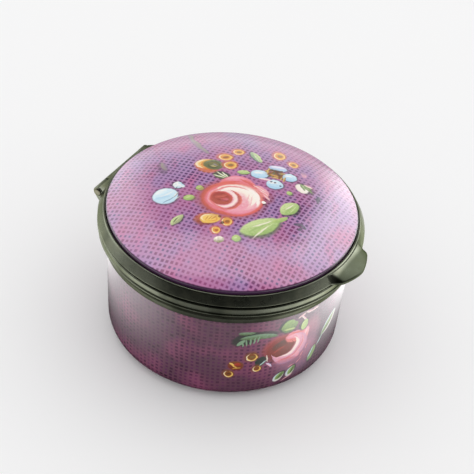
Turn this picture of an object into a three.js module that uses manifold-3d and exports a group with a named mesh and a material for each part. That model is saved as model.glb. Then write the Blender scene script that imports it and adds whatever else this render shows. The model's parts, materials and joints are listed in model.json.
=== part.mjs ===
// Enamel patch box: a small round box of enamelled copper with a shallow domed lid,
// both edged with patinated metal mounts that a pin hinge joins at the back.
// Millimetres, +Z up. The origin is on the box's axis at its underside, the thumbpiece
// points to -Y, and the hinge pin lies along X at +Y.

import * as THREE from 'three';
import { mergeVertices } from 'three/addons/utils/BufferGeometryUtils.js';
import { ConvexGeometry } from 'three/addons/geometries/ConvexGeometry.js';
import Module from 'manifold-3d';

const wasm = await Module();
wasm.setup();

// Whole box
const rimRadius = 25.0; // outside of both mounts where lid and base meet
const rimHeight = 25.7; // height of the line where lid and base meet
const fitGap = 0.3; // clearance between pieces that sit in or on each other

// Enamelled body
const bodyInset = 1.8; // how far the rim stands out past the body's wall
const bodyTaper = 0.7; // how much narrower the body is at its foot
const bodyWall = 1.4;
const bodyFloor = 1.6;
const footRound = 3.8; // rounding between the wall and the underside

// Metal mount on the body
const bandHeight = 4.4; // depth of the band below the meeting line
const bandSheet = 0.35; // metal thickness at the band's lower edge
const collarHeight = 1.2; // upright collar at the top of the band
const grooveDepth = 0.45;
const grooveHeight = 0.35;
const beadHeight = 0.6; // raised line under the groove
const capThickness = 0.6; // metal over the body's top edge
const skirtDepth = 2.0; // inner skirt below that metal
const skirtSheet = 0.4;
const lipHeight = 0.75; // low lip that guides the lid
const lipClearance = 0.5; // room between the lip and the lid's mount

// Metal mount on the lid
const bezelHeight = 2.1; // from the meeting line to the enamel's edge
const bezelLean = 0.9; // how far the sloping bezel leans in
const bezelLip = 0.35; // width of the bezel's top edge
const ledgeThickness = 0.8; // inner ledge that carries the lid's enamel
const ledgeLap = 0.15; // how far the ledge reaches in past the enamel's edge

// Enamelled lid
const lidRise = 4.6; // crown of the dome above the bezel's top
const enamelStand = 0.55; // how far the enamel's edge stands above the bezel
const lidWall = 1.3;
const lidShoulder = 3; // higher is a flatter crown with a steeper shoulder
const enamelEdgeRound = 0.35;

// Hinge
const hingeLength = 16.8;
const knuckleCount = 5; // odd: the outer knuckles belong to the body's mount
const pinRadius = 0.4;
const knuckleWall = 0.36;
const hingeGap = 0.22; // running clearance round the pin and between knuckles
const pinInset = 0.5; // how far the pin's axis lies inside the rim's outside
const leafFootRise = 0.5; // height of the lower leaf's foot above the band's edge

// Thumbpiece
const thumbReach = 2.5; // how far the tip stands out past the rim
const thumbWidth = 12.2;
const thumbShoulder = 1.15; // how far its ends stand out past the rim
const thumbFullness = 1.6; // 1 is a straight-sided point, 2 a round front
const thumbEdge = 0.65; // thickness of its edge
const thumbUndercut = 0.1; // how far its underside stays above the lid mount's

// Fineness of the round shapes
const roundSides = 64;
const knuckleSides = 24;
const pinSides = 16;
const domeSteps = 8;
const cornerSteps = 4;
const thumbSteps = 5; // on each side of its point

// Places worked out from the sizes
const baseTop = rimHeight - fitGap / 2;
const lidBottom = rimHeight + fitGap / 2;
const bodyRadius = rimRadius - bodyInset;
const bodyFootRadius = bodyRadius - bodyTaper;
const bodyTop = baseTop - capThickness - fitGap;
const bandBottom = baseTop - bandHeight;
const bandFootRadius = bodyRadius + fitGap + bandSheet;
const skirtBottom = bodyTop + fitGap - skirtDepth;
const skirtRadius = bodyRadius - bodyWall - fitGap;
const wallUprightFrom = Math.min(bandBottom, skirtBottom);
const ledgeTop = lidBottom + ledgeThickness;
const bezelTop = rimHeight + bezelHeight;
const bezelLipRadius = rimRadius - bezelLean;
const bezelInnerRadius = bezelLipRadius - bezelLip;
const lidRadius = bezelInnerRadius - fitGap;
const ledgeRadius = lidRadius - lidWall - ledgeLap;
const lipRadius = ledgeRadius - lipClearance;
const mouthRadius = Math.min(lipRadius, skirtRadius) - skirtSheet;
const hingeY = rimRadius - pinInset;
const knuckleRadius = pinRadius + hingeGap + knuckleWall;
const pocketRadius = knuckleRadius + hingeGap;
const knuckleLength = (hingeLength - (knuckleCount - 1) * hingeGap) / knuckleCount;

// A point of a profile: distance from the axis, height
const at = (radius, height) => new THREE.Vector2(radius, height);

// Rounded corner between two directions, as points on an arc round its centre
function arc(centreX, centreY, radius, fromDegrees, toDegrees, steps) {
  const points = [];
  for (let step = 0; step <= steps; step += 1) {
    const angle = THREE.MathUtils.degToRad(fromDegrees + (step / steps) * (toDegrees - fromDegrees));
    points.push(at(centreX + radius * Math.cos(angle), centreY + radius * Math.sin(angle)));
  }
  return points;
}

// Closed three.js shape as a solid that can be joined and cut
function solidOf(geometry) {
  const bare = geometry.clone();
  bare.deleteAttribute('normal');
  bare.deleteAttribute('uv');
  const merged = mergeVertices(bare, 1e-4);
  const index = merged.getIndex().array;
  const triangles = [];
  for (let i = 0; i < index.length; i += 3) {
    const [a, b, c] = [index[i], index[i + 1], index[i + 2]];
    if (a !== b && b !== c && c !== a) triangles.push(a, b, c);
  }
  return new wasm.Manifold(new wasm.Mesh({
    numProp: 3,
    vertProperties: new Float32Array(merged.getAttribute('position').array),
    triVerts: new Uint32Array(triangles),
  }));
}

// Named mesh of a finished solid
function pieceOf(name, solid, material) {
  const { vertProperties, triVerts } = solid.getMesh();
  const geometry = new THREE.BufferGeometry();
  geometry.setAttribute('position', new THREE.BufferAttribute(vertProperties, 3));
  geometry.setIndex(new THREE.BufferAttribute(triVerts, 1));
  geometry.computeVertexNormals();
  const mesh = new THREE.Mesh(geometry, material);
  mesh.name = name;
  return mesh;
}

// Profile turned round the box's axis. Its points run outwards along the bottom, up the
// outside and back; one that doesn't start on the axis is closed on itself.
function turned(points) {
  const profile = points[0].x > 0 ? [...points, points[0].clone()] : points;
  return solidOf(new THREE.LatheGeometry(profile, roundSides).rotateX(Math.PI / 2));
}

// Rod along X at the hinge, from one place on X to another
function hingeRod(radius, fromX, toX, sides) {
  const rod = new THREE.CylinderGeometry(radius, radius, toX - fromX, sides);
  return solidOf(rod.rotateZ(Math.PI / 2).translate((fromX + toX) / 2, hingeY, rimHeight));
}

// Outline in the YZ plane carried along the hinge's length
function hingeLeaf(outline) {
  const leaf = new THREE.ExtrudeGeometry(new THREE.Shape(outline), {
    depth: hingeLength, bevelEnabled: false,
  });
  leaf.translate(0, 0, -hingeLength / 2);
  // The shape's own x, y and depth become Y, Z and X
  leaf.applyMatrix4(new THREE.Matrix4().makeBasis(
    new THREE.Vector3(0, 1, 0),
    new THREE.Vector3(0, 0, 1),
    new THREE.Vector3(1, 0, 0),
  ));
  return solidOf(leaf);
}

// Direction, in degrees round the pin, where a line from a point in the YZ plane touches
// the knuckles; side is 1 for the touch further round anticlockwise and -1 for the other
function touchDegrees(y, z, side) {
  const distance = Math.hypot(y - hingeY, z - rimHeight);
  const direction = Math.atan2(z - rimHeight, y - hingeY);
  return THREE.MathUtils.radToDeg(direction + side * Math.acos(knuckleRadius / distance));
}

// Place along Y of the rim circle with this radius at the hinge's ends
function edgeYAtHingeEnd(radius) {
  return Math.sqrt(radius ** 2 - (hingeLength / 2) ** 2);
}

// Start and end along X of one knuckle
function knuckleSpan(number) {
  const start = -hingeLength / 2 + number * (knuckleLength + hingeGap);
  return [start, start + knuckleLength];
}

// Knuckles of one mount added to it, with room cut for the other mount's knuckles
function withKnuckles(solid, firstNumber) {
  let result = solid;
  for (let number = 0; number < knuckleCount; number += 1) {
    const [start, end] = knuckleSpan(number);
    if (number % 2 === firstNumber) {
      result = result.add(hingeRod(knuckleRadius, start, end, knuckleSides));
    } else {
      const before = number === 0 ? start - fitGap : start - hingeGap;
      const after = number === knuckleCount - 1 ? end + fitGap : end + hingeGap;
      result = result.subtract(hingeRod(pocketRadius, before, after, knuckleSides));
    }
  }
  const reach = hingeLength / 2 + fitGap;
  return result.subtract(hingeRod(pinRadius + hingeGap, -reach, reach, pinSides));
}

// Enamelled body: a plain cup with a flat underside and a rounded foot
function bodySolid() {
  const innerFootRadius = bodyFootRadius - bodyWall;
  const innerRound = Math.max(footRound - bodyWall, bodyWall);
  return turned([
    at(0, 0),
    ...arc(bodyFootRadius - footRound, footRound, footRound, -90, 0, cornerSteps),
    at(bodyRadius, wallUprightFrom),
    at(bodyRadius, bodyTop),
    at(bodyRadius - bodyWall, bodyTop),
    at(bodyRadius - bodyWall, wallUprightFrom),
    ...arc(innerFootRadius - innerRound, bodyFloor + innerRound, innerRound, 0, -90, cornerSteps),
    at(0, bodyFloor),
  ]);
}

// Mount on the body: banded outside, channel over the body's edge, skirt and guiding lip
function baseMountSolid() {
  const chamfer = bandSheet / 2;
  const collarBottom = baseTop - collarHeight;
  const beadTop = collarBottom - grooveHeight;
  const beadBottom = beadTop - beadHeight;
  const beadRadius = rimRadius - grooveDepth / 3;
  const channelRadius = bodyRadius + fitGap;
  const channelTop = bodyTop + fitGap;
  const hollowRadius = (bandFootRadius + rimRadius - grooveDepth) / 2;
  const ring = turned([
    at(channelRadius, bandBottom),
    at(bandFootRadius, bandBottom),
    at(hollowRadius - bandSheet / 3, (bandBottom + beadBottom) / 2),
    at(rimRadius - grooveDepth, beadBottom),
    at(beadRadius, beadBottom + beadHeight / 3),
    at(beadRadius, beadTop - beadHeight / 4),
    at(rimRadius - grooveDepth, beadTop),
    at(rimRadius - grooveDepth, collarBottom),
    at(rimRadius, collarBottom + grooveHeight / 2),
    at(rimRadius, baseTop - chamfer),
    at(rimRadius - chamfer, baseTop),
    at(lipRadius, baseTop),
    at(lipRadius, rimHeight + lipHeight),
    at(mouthRadius, rimHeight + lipHeight),
    at(mouthRadius, skirtBottom),
    at(skirtRadius, skirtBottom),
    at(skirtRadius, channelTop),
    at(channelRadius, channelTop),
  ]);
  const footZ = bandBottom + leafFootRise;
  const footY = edgeYAtHingeEnd(bandFootRadius) + bandSheet / 2;
  const innerY = edgeYAtHingeEnd(channelRadius) - bandSheet;
  const leaf = hingeLeaf([
    at(innerY, footZ),
    at(footY, footZ),
    ...arc(hingeY, rimHeight, knuckleRadius, touchDegrees(footY, footZ, 1), 0, cornerSteps),
    at(hingeY, baseTop),
    at(innerY, baseTop),
  ]);
  const bodyRoom = turned([
    at(0, bandBottom - fitGap),
    at(channelRadius, bandBottom - fitGap),
    at(channelRadius, channelTop),
    at(0, channelTop),
  ]);
  const leafAboveRim = turned([
    at(0, baseTop),
    at(hingeY - knuckleRadius, baseTop),
    at(hingeY - knuckleRadius, rimHeight + lipHeight + fitGap),
    at(0, rimHeight + lipHeight + fitGap),
  ]);
  const leafOutside = leaf.subtract(bodyRoom).subtract(leafAboveRim);
  return withKnuckles(ring.add(leafOutside), 0);
}

// Thumbpiece: a flat lip that slopes from the bezel's top edge to a blunt pointed front
function thumbSolid() {
  const endX = thumbWidth / 2;
  const tipY = rimRadius + thumbReach;
  const shoulderY = Math.sqrt(rimRadius ** 2 - endX ** 2) + thumbShoulder;
  const underside = lidBottom + thumbUndercut;
  const points = [];
  for (let step = -thumbSteps; step <= thumbSteps; step += 1) {
    const share = Math.abs(step) / thumbSteps;
    const x = (step / thumbSteps) * endX;
    const frontY = shoulderY + (tipY - shoulderY) * (1 - share ** thumbFullness);
    const backY = Math.sqrt(bezelLipRadius ** 2 - x ** 2);
    points.push(new THREE.Vector3(x, -frontY, underside));
    points.push(new THREE.Vector3(x, -frontY, underside + thumbEdge));
    points.push(new THREE.Vector3(x, -backY, underside));
    points.push(new THREE.Vector3(x, -backY, bezelTop));
  }
  return solidOf(new ConvexGeometry(points));
}

// Mount on the lid: sloping bezel, ledge under the enamel, hinge leaf and thumbpiece
function lidMountSolid() {
  const chamfer = bezelLip / 2;
  const ring = turned([
    at(ledgeRadius, lidBottom),
    at(rimRadius - chamfer, lidBottom),
    at(rimRadius, lidBottom + chamfer),
    at(bezelLipRadius, bezelTop - chamfer),
    at(bezelLipRadius - chamfer, bezelTop),
    at(bezelInnerRadius, bezelTop - chamfer / 2),
    at(bezelInnerRadius, ledgeTop),
    at(ledgeRadius, ledgeTop),
  ]);
  const crestY = edgeYAtHingeEnd(bezelLipRadius);
  const crestZ = bezelTop - chamfer;
  const innerY = edgeYAtHingeEnd(bezelInnerRadius);
  const leaf = hingeLeaf([
    at(innerY, lidBottom),
    at(hingeY, lidBottom),
    ...arc(hingeY, rimHeight, knuckleRadius, 0, touchDegrees(crestY, crestZ, -1), cornerSteps),
    at(crestY, crestZ),
    at(innerY, crestZ),
  ]);
  const enamelRoom = turned([
    at(0, lidBottom - fitGap),
    at(ledgeRadius, lidBottom - fitGap),
    at(ledgeRadius, ledgeTop),
    at(bezelInnerRadius, ledgeTop),
    at(bezelInnerRadius, bezelTop + fitGap),
    at(0, bezelTop + fitGap),
  ]);
  return withKnuckles(ring.add(leaf).add(thumbSolid()).subtract(enamelRoom), 1);
}

// Enamelled lid: a shell with a nearly flat crown and a steep shoulder
function lidDomeSolid() {
  const crown = bezelTop + lidRise;
  const bottom = ledgeTop + fitGap;
  const innerRadius = lidRadius - lidWall;
  const drop = lidRise - enamelStand;
  const outerHeight = (radius) => crown - drop * (radius / lidRadius) ** lidShoulder;
  const edgeRadius = lidRadius - enamelEdgeRound;
  const edgeZ = outerHeight(edgeRadius);
  const innerDrop = drop * (innerRadius / lidRadius) ** (lidShoulder - 1);
  const innerHeight = (radius) => crown - lidWall - innerDrop * (radius / innerRadius) ** lidShoulder;
  const outside = [];
  const inside = [];
  for (let step = 0; step <= domeSteps; step += 1) {
    outside.unshift(at((edgeRadius * step) / domeSteps, outerHeight((edgeRadius * step) / domeSteps)));
    inside.push(at((innerRadius * step) / domeSteps, innerHeight((innerRadius * step) / domeSteps)));
  }
  return turned([
    ...inside,
    at(innerRadius, bottom),
    at(lidRadius, bottom),
    at(lidRadius, edgeZ - enamelEdgeRound),
    at(lidRadius - enamelEdgeRound / 3, edgeZ - enamelEdgeRound / 4),
    ...outside,
  ]);
}

// Hinge pin, held in the outer knuckles and cut flush with them
function pinSolid() {
  return hingeRod(pinRadius, -hingeLength / 2, hingeLength / 2, pinSides);
}

const purpleEnamel = new THREE.MeshStandardMaterial({ color: 0xa878ac, roughness: 0.2, metalness: 0 });
const oldGiltMetal = new THREE.MeshStandardMaterial({ color: 0x5c6052, roughness: 0.4, metalness: 1 });
const pinMetal = new THREE.MeshStandardMaterial({ color: 0x7a7765, roughness: 0.45, metalness: 1 });

const patchBox = new THREE.Group();
patchBox.add(pieceOf('body', bodySolid(), purpleEnamel));
patchBox.add(pieceOf('base_mount', baseMountSolid(), oldGiltMetal));
patchBox.add(pieceOf('lid_dome', lidDomeSolid(), purpleEnamel));
patchBox.add(pieceOf('lid_mount', lidMountSolid(), oldGiltMetal));
patchBox.add(pieceOf('hinge_pin', pinSolid(), pinMetal));

export default patchBox;
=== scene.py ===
"""Looks of an enamel patch box: painted enamel, aged metal mounts and a pin hinge."""

import json
import math

import bpy
from bpy.props import FloatProperty, FloatVectorProperty, IntProperty, PointerProperty
from bpy.types import Operator, Panel, PropertyGroup
from mathutils import Matrix, Vector


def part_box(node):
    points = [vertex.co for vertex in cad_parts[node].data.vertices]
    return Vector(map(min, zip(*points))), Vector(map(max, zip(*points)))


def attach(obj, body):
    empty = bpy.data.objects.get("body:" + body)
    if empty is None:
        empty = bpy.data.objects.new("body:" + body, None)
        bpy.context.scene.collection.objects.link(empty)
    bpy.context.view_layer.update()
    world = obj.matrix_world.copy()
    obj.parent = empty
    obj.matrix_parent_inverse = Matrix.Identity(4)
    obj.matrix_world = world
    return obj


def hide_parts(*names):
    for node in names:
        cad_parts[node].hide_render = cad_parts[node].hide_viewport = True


bl_info = {
    "name": "Enamel patch box",
    "version": (1, 0, 0),
    "blender": (4, 5, 0),
    "location": "3D View > Sidebar > Patch Box",
    "description": "Builds the finished surfaces of a painted enamel patch box round its frame",
    "category": "Object",
}

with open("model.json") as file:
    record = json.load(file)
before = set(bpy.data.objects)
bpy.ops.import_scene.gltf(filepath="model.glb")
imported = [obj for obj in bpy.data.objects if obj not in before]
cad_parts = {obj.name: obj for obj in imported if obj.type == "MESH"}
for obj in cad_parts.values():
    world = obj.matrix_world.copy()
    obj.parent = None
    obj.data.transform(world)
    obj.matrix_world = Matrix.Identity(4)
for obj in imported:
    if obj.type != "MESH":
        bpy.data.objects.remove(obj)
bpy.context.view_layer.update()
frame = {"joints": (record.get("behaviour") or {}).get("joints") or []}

MM = 0.001
SIDES = 256  # of every shape turned round the box's axis
HINGE_SIDES = 48  # of the knuckles and of what is cut round them
PIN_SIDES = 24

# Places that come from the frame, in millimetres
LID_HINGE = next(joint for joint in frame["joints"] if joint["name"] == "lid_hinge")
HINGE_Y = LID_HINGE["pos_m"][1] / MM
RIM_HEIGHT = LID_HINGE["pos_m"][2] / MM


def reach(node, axis, side):
    """Furthest place of a frame node along an axis, in millimetres; side is 0 or 1."""
    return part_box(node)[side][axis] / MM


RIM_RADIUS = reach("base_mount", 0, 1)
BODY_RADIUS = reach("body", 0, 1)
BODY_TOP = reach("body", 2, 1)
BAND_BOTTOM = reach("base_mount", 2, 0)
KNUCKLE_RADIUS = reach("base_mount", 2, 1) - RIM_HEIGHT
HINGE_LENGTH = 2 * reach("hinge_pin", 0, 1)
PIN_RADIUS = reach("hinge_pin", 2, 1) - RIM_HEIGHT
LID_RADIUS = reach("lid_dome", 0, 1)
LID_CROWN = reach("lid_dome", 2, 1)
LID_BOTTOM = reach("lid_dome", 2, 0)
BEZEL_TOP = reach("lid_mount", 2, 1)
THUMB_TIP = -reach("lid_mount", 1, 0)


# Sizes and colours that a user may change

def length(name, millimetres, description):
    """A length shown in Blender's units."""
    return FloatProperty(
        name=name, description=description, default=millimetres * MM, min=0.0, unit="LENGTH",
        precision=5,
    )


def colour(name, red, green, blue, description):
    """A colour given as it looks on a screen, from 0 to 255."""
    return FloatVectorProperty(
        name=name, description=description, subtype="COLOR", size=4, min=0.0, max=1.0,
        default=linear(red, green, blue),
    )


def linear(red, green, blue):
    """Screen colour from 0 to 255 as the linear colour that shaders use."""
    def channel(value):
        share = value / 255
        return share / 12.92 if share <= 0.04045 else ((share + 0.055) / 1.055) ** 2.4
    return (channel(red), channel(green), channel(blue), 1.0)


class PatchBoxSizes(PropertyGroup):
    """Lengths of the finished pieces."""

    fit_gap: length("Fit gap", 0.3, "Clearance between pieces that sit in each other")
    hinge_gap: length("Hinge gap", 0.22, "Clearance round the pin and between knuckles")
    body_taper: length("Body taper", 0.7, "How much narrower the body is at its foot")
    body_wall: length("Body wall", 1.4, "Thickness of the enamelled body")
    body_floor: length("Body floor", 1.6, "Thickness of the enamelled floor")
    foot_round: length("Foot rounding", 3.8, "Rounding between the wall and the underside")
    band_sheet: length("Band sheet", 0.35, "Metal thickness at the band's lower edge")
    collar_height: length("Collar", 1.2, "Upright collar at the top of the band")
    groove_depth: length("Groove depth", 0.45, "Depth of the groove in the band")
    groove_height: length("Groove height", 0.35, "Height of the groove in the band")
    bead_height: length("Bead", 0.6, "Raised line under the groove")
    skirt_depth: length("Skirt", 2.0, "Depth of the skirt inside the body")
    skirt_sheet: length("Skirt sheet", 0.4, "Thickness of the skirt and of the guiding lip")
    lip_height: length("Lip", 0.75, "Height of the lip that guides the lid")
    lip_clearance: length("Lip clearance", 0.5, "Room between the lip and the lid's mount")
    bezel_lean: length("Bezel lean", 0.9, "How far the sloping bezel leans in")
    bezel_lip: length("Bezel lip", 0.35, "Width of the bezel's top edge")
    ledge_lap: length("Ledge lap", 0.15, "How far the ledge reaches past the enamel's edge")
    lid_wall: length("Lid wall", 1.3, "Thickness of the enamelled lid")
    enamel_stand: length("Enamel stand", 0.55, "How far the enamel's edge stands above the bezel")
    enamel_edge: length("Enamel edge", 0.35, "Rounding of the lid's enamel at the bezel")
    thumb_width: length("Thumbpiece width", 12.2, "Width of the thumbpiece")
    thumb_edge: length("Thumbpiece edge", 0.65, "Thickness of the thumbpiece at its front")
    thumb_shoulder: length("Thumbpiece ends", 1.15, "How far its ends stand out past the rim")
    leaf_foot: length("Leaf foot", 0.5, "Height of the lower hinge leaf above the band's edge")
    lid_dot_pitch: length("Lid dots", 0.9, "Distance between the painted dots on the lid")
    body_dot_rows: length("Body dot rows", 0.87, "Distance between the rows of dots on the body")
    knuckles: IntProperty(name="Knuckles", description="Knuckles in the hinge", default=5, min=3)
    body_dot_columns: IntProperty(
        name="Body dot columns", description="Columns of dots round the body", default=144, min=8,
    )
    lid_shoulder: FloatProperty(
        name="Lid shoulder", description="Higher is a flatter crown and a steeper shoulder",
        default=3.0, min=1.0,
    )
    thumb_fullness: FloatProperty(
        name="Thumbpiece fullness", description="1 is a straight-sided point, 2 a round front",
        default=1.6, min=1.0,
    )


class PatchBoxColours(PropertyGroup):
    """Main colours of the enamel and the metal."""

    lid_pink: colour("Lid pink", 180, 116, 160, "Pink patches of the lid's ground")
    lid_lilac: colour("Lid lilac", 166, 126, 174, "Lilac patches of the lid's ground")
    lid_dot: colour("Lid dots", 82, 34, 94, "Violet dots of the lid")
    lid_dot_red: colour("Lid red dots", 122, 38, 92, "Plum-red dots of the lid")
    lid_dot_blue: colour("Lid blue dots", 72, 60, 108, "Blue-grey dots of the lid")
    lid_edge: colour("Lid edge", 60, 34, 62, "Dark line round the lid's enamel")
    # Body mauve and body dots are darker than the lid's colours: partly the body's own ground, partly
    # painted shade for its sides, which get less light than the top.
    body_mauve: colour("Body mauve", 94, 62, 78, "Ground of the body")
    body_dot: colour("Body dots", 56, 26, 48, "Painted dots on the body")
    white_enamel: colour("White enamel", 236, 232, 224, "Plain enamel inside and underneath")
    metal: colour("Metal", 98, 101, 89, "Patinated metal of the mounts")
    # The dark metal is also the colour of the painted shade on the mounts' front at the thumbpiece.
    metal_dark: colour("Dark metal", 40, 44, 34, "Old dirt and patina in the hollows")
    metal_worn: colour("Worn metal", 98, 98, 82, "Metal where it is rubbed")
    pin: colour("Pin", 98, 96, 82, "Dull wire of the hinge pin")


class Millimetres:
    """The user's lengths as plain numbers in millimetres, and the other values as they are."""

    def __init__(self, sizes):
        for name in PatchBoxSizes.__annotations__:
            value = getattr(sizes, name)
            plain = name in ("knuckles", "body_dot_columns", "lid_shoulder", "thumb_fullness")
            setattr(self, name, value if plain else value / MM)
        self.hinge_pitch = (HINGE_LENGTH + self.hinge_gap) / self.knuckles
        self.pocket_radius = KNUCKLE_RADIUS + self.hinge_gap
        self.lip_radius = LID_RADIUS - self.lid_wall - self.ledge_lap - self.lip_clearance
        self.skirt_radius = BODY_RADIUS - self.body_wall - self.fit_gap
        self.base_top = RIM_HEIGHT - self.fit_gap / 2
        self.lid_base = RIM_HEIGHT + self.fit_gap / 2


# Mesh helpers. Everything is laid out in millimetres and made in metres.

def mesh_object(name, points, faces):
    """Object of a mesh given by points in millimetres and faces."""
    mesh = bpy.data.meshes.new(name)
    mesh.from_pydata([Vector(point) * MM for point in points], [], faces)
    mesh.validate()
    mesh.update()
    piece = bpy.data.objects.new(name, mesh)
    bpy.context.scene.collection.objects.link(piece)
    return piece


def ease(value, low, high):
    """Smooth step from 0 at low to 1 at high."""
    share = min(max((value - low) / (high - low), 0.0), 1.0)
    return share * share * (3 - 2 * share)


def arc(centre_x, centre_y, radius, start, end, steps):
    """Points on an arc, with its angles in degrees."""
    angles = [math.radians(start + (end - start) * step / steps) for step in range(steps + 1)]
    return [(centre_x + radius * math.cos(a), centre_y + radius * math.sin(a)) for a in angles]


def rounded(outline, radius, steps=4):
    """Closed outline with each of its corners rounded, as far as its sides allow."""
    result = []
    for index, corner in enumerate(outline):
        here = Vector(corner)
        before = Vector(outline[index - 1]) - here
        after = Vector(outline[(index + 1) % len(outline)]) - here
        start = here + before.normalized() * min(radius, before.length * 0.4)
        end = here + after.normalized() * min(radius, after.length * 0.4)
        for step in range(steps + 1):
            share = step / steps
            result.append(tuple(start.lerp(here, share).lerp(here.lerp(end, share), share)))
    return result


def turned(name, profile):
    """Profile of (radius, height) points turned round the box's axis, anticlockwise."""
    closed = profile[0][0] > 0
    rows = []
    points = []
    for radius, height in profile:
        if radius == 0:
            rows.append([len(points)] * SIDES)
            points.append((0, 0, height))
            continue
        rows.append(list(range(len(points), len(points) + SIDES)))
        for side in range(SIDES):
            angle = math.tau * side / SIDES
            points.append((radius * math.cos(angle), radius * math.sin(angle), height))
    faces = []
    pairs = list(zip(rows, rows[1:])) + ([(rows[-1], rows[0])] if closed else [])
    for low, high in pairs:
        for side in range(SIDES):
            after = (side + 1) % SIDES
            ring = [low[side], low[after], high[after], high[side]]
            faces.append([corner for place, corner in enumerate(ring) if corner != ring[place - 1]])
    return mesh_object(name, points, faces)


def lofted(name, sections):
    """Closed solid through like sections, each a list of 3-D points."""
    size = len(sections[0])
    points = [point for section in sections for point in section]
    faces = [list(range(size))[::-1]]
    for row in range(len(sections) - 1):
        for step in range(size):
            after = (step + 1) % size
            low = row * size
            high = low + size
            faces.append([low + step, low + after, high + after, high + step])
    faces.append(list(range(len(points) - size, len(points))))
    return mesh_object(name, points, faces)


def hinge_ring(x, radius, sides):
    """Circle of points round the hinge's axis."""
    circle = arc(HINGE_Y, RIM_HEIGHT, radius, 0, 360 - 360 / sides, sides - 1)
    return [(x, y, z) for y, z in circle]


def rod(name, radius, start, end):
    """Round rod along the hinge's axis."""
    return lofted(name, [hinge_ring(x, radius, HINGE_SIDES) for x in (start, end)])


def round_room(name, radius, low, high):
    """Plain cylinder round the box's axis, to be cut away."""
    return turned(name, [(0, low), (radius, low), (radius, high), (0, high)])


def cut_or_join(piece, tool, operation):
    """Joins a closed shape to a piece, or cuts it away, and deletes the shape."""
    step = piece.modifiers.new("shape", "BOOLEAN")
    step.operation = operation
    step.object = tool
    step.solver = "EXACT"
    apply_modifiers(piece)
    bpy.data.objects.remove(tool)


def apply_modifiers(piece):
    """Turns a piece with its modifiers into a plain mesh."""
    depsgraph = bpy.context.evaluated_depsgraph_get()
    mesh = bpy.data.meshes.new_from_object(piece.evaluated_get(depsgraph))
    piece.modifiers.clear()
    piece.data = mesh
    mesh.name = piece.name


def smooth(piece, degrees=35):
    """Smooth shading with edges kept crisp where the surface turns more than this."""
    piece.data.polygons.foreach_set("use_smooth", [True] * len(piece.data.polygons))
    piece.data.set_sharp_from_angle(angle=math.radians(degrees))


def finish_piece(piece, body, node):
    """Smooths a piece, ties it to its body and hides the frame node it stands for."""
    smooth(piece)
    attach(piece, body)
    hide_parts(node)


# Shader helpers

class Nodes:
    """Short ways to place nodes in one tree."""

    def __init__(self, tree):
        self.tree = tree
        self.placed = 0

    def add(self, kind, **settings):
        node = self.tree.nodes.new(kind)
        for name, value in settings.items():
            setattr(node, name, value)
        node.location = (200 * (self.placed % 30), -260 * (self.placed // 30))
        self.placed += 1
        return node

    def feed(self, socket, value):
        if isinstance(value, bpy.types.NodeSocket):
            self.tree.links.new(value, socket)
        else:
            socket.default_value = value

    def math(self, operation, *values):
        node = self.add("ShaderNodeMath", operation=operation)
        for socket, value in zip(node.inputs, values):
            self.feed(socket, value)
        return node.outputs[0]

    def vector(self, operation, *values, scale=None):
        node = self.add("ShaderNodeVectorMath", operation=operation)
        for socket, value in zip(node.inputs, values):
            self.feed(socket, value)
        if scale is not None:
            self.feed(node.inputs["Scale"], scale)
        value_out = operation in ("DOT_PRODUCT", "LENGTH")
        return node.outputs["Value" if value_out else "Vector"]

    def mix(self, share, first, second):
        node = self.add("ShaderNodeMix", data_type="RGBA")
        self.feed(node.inputs[0], share)
        self.feed(node.inputs[6], first)
        self.feed(node.inputs[7], second)
        return node.outputs[2]

    def between(self, share, first, second):
        node = self.add("ShaderNodeMix", data_type="FLOAT")
        self.feed(node.inputs[0], share)
        self.feed(node.inputs[2], first)
        self.feed(node.inputs[3], second)
        return node.outputs[0]

    def rise(self, value, start, end, low=0.0, high=1.0):
        """Smooth step of a value from low at start to high at end."""
        node = self.add("ShaderNodeMapRange", interpolation_type="SMOOTHSTEP", clamp=False)
        for socket, number in zip(node.inputs, (value, start, end, low, high)):
            self.feed(socket, number)
        return node.outputs[0]

    def noise(self, place, scale, detail=2.0, roughness=0.5):
        node = self.add("ShaderNodeTexNoise")
        self.feed(node.inputs["Vector"], place)
        self.feed(node.inputs["Scale"], scale)
        self.feed(node.inputs["Detail"], detail)
        self.feed(node.inputs["Roughness"], roughness)
        return node.outputs

    def split(self, vector):
        node = self.add("ShaderNodeSeparateXYZ")
        self.feed(node.inputs[0], vector)
        return node.outputs

    def join(self, x, y, z=0.0):
        node = self.add("ShaderNodeCombineXYZ")
        for socket, value in zip(node.inputs, (x, y, z)):
            self.feed(socket, value)
        return node.outputs[0]

    def turn(self, vector, angle):
        node = self.add("ShaderNodeVectorRotate", rotation_type="Z_AXIS")
        self.feed(node.inputs["Vector"], vector)
        self.feed(node.inputs["Angle"], angle)
        return node.outputs[0]

    def group(self, tree, values):
        node = self.add("ShaderNodeGroup", node_tree=tree)
        for name, value in values.items():
            self.feed(node.inputs[name], value)
        return node.outputs

    def millimetres(self):
        """Object coordinates in millimetres."""
        place = self.add("ShaderNodeTexCoord").outputs["Object"]
        return self.vector("SCALE", place, scale=1 / MM)


SOCKETS = {"colour": "NodeSocketColor", "value": "NodeSocketFloat", "vector": "NodeSocketVector"}


def shader_group(name, inputs, outputs):
    """New shader node group with named sockets: its tree, inputs and a way to feed outputs."""
    tree = bpy.data.node_groups.new(name, "ShaderNodeTree")
    for in_out, sockets in (("INPUT", inputs), ("OUTPUT", outputs)):
        for label, kind in sockets.items():
            tree.interface.new_socket(name=label, in_out=in_out, socket_type=SOCKETS[kind])
    nodes = Nodes(tree)
    entry = nodes.add("NodeGroupInput").outputs
    exit_sockets = nodes.add("NodeGroupOutput").inputs
    return nodes, entry, exit_sockets


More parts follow.
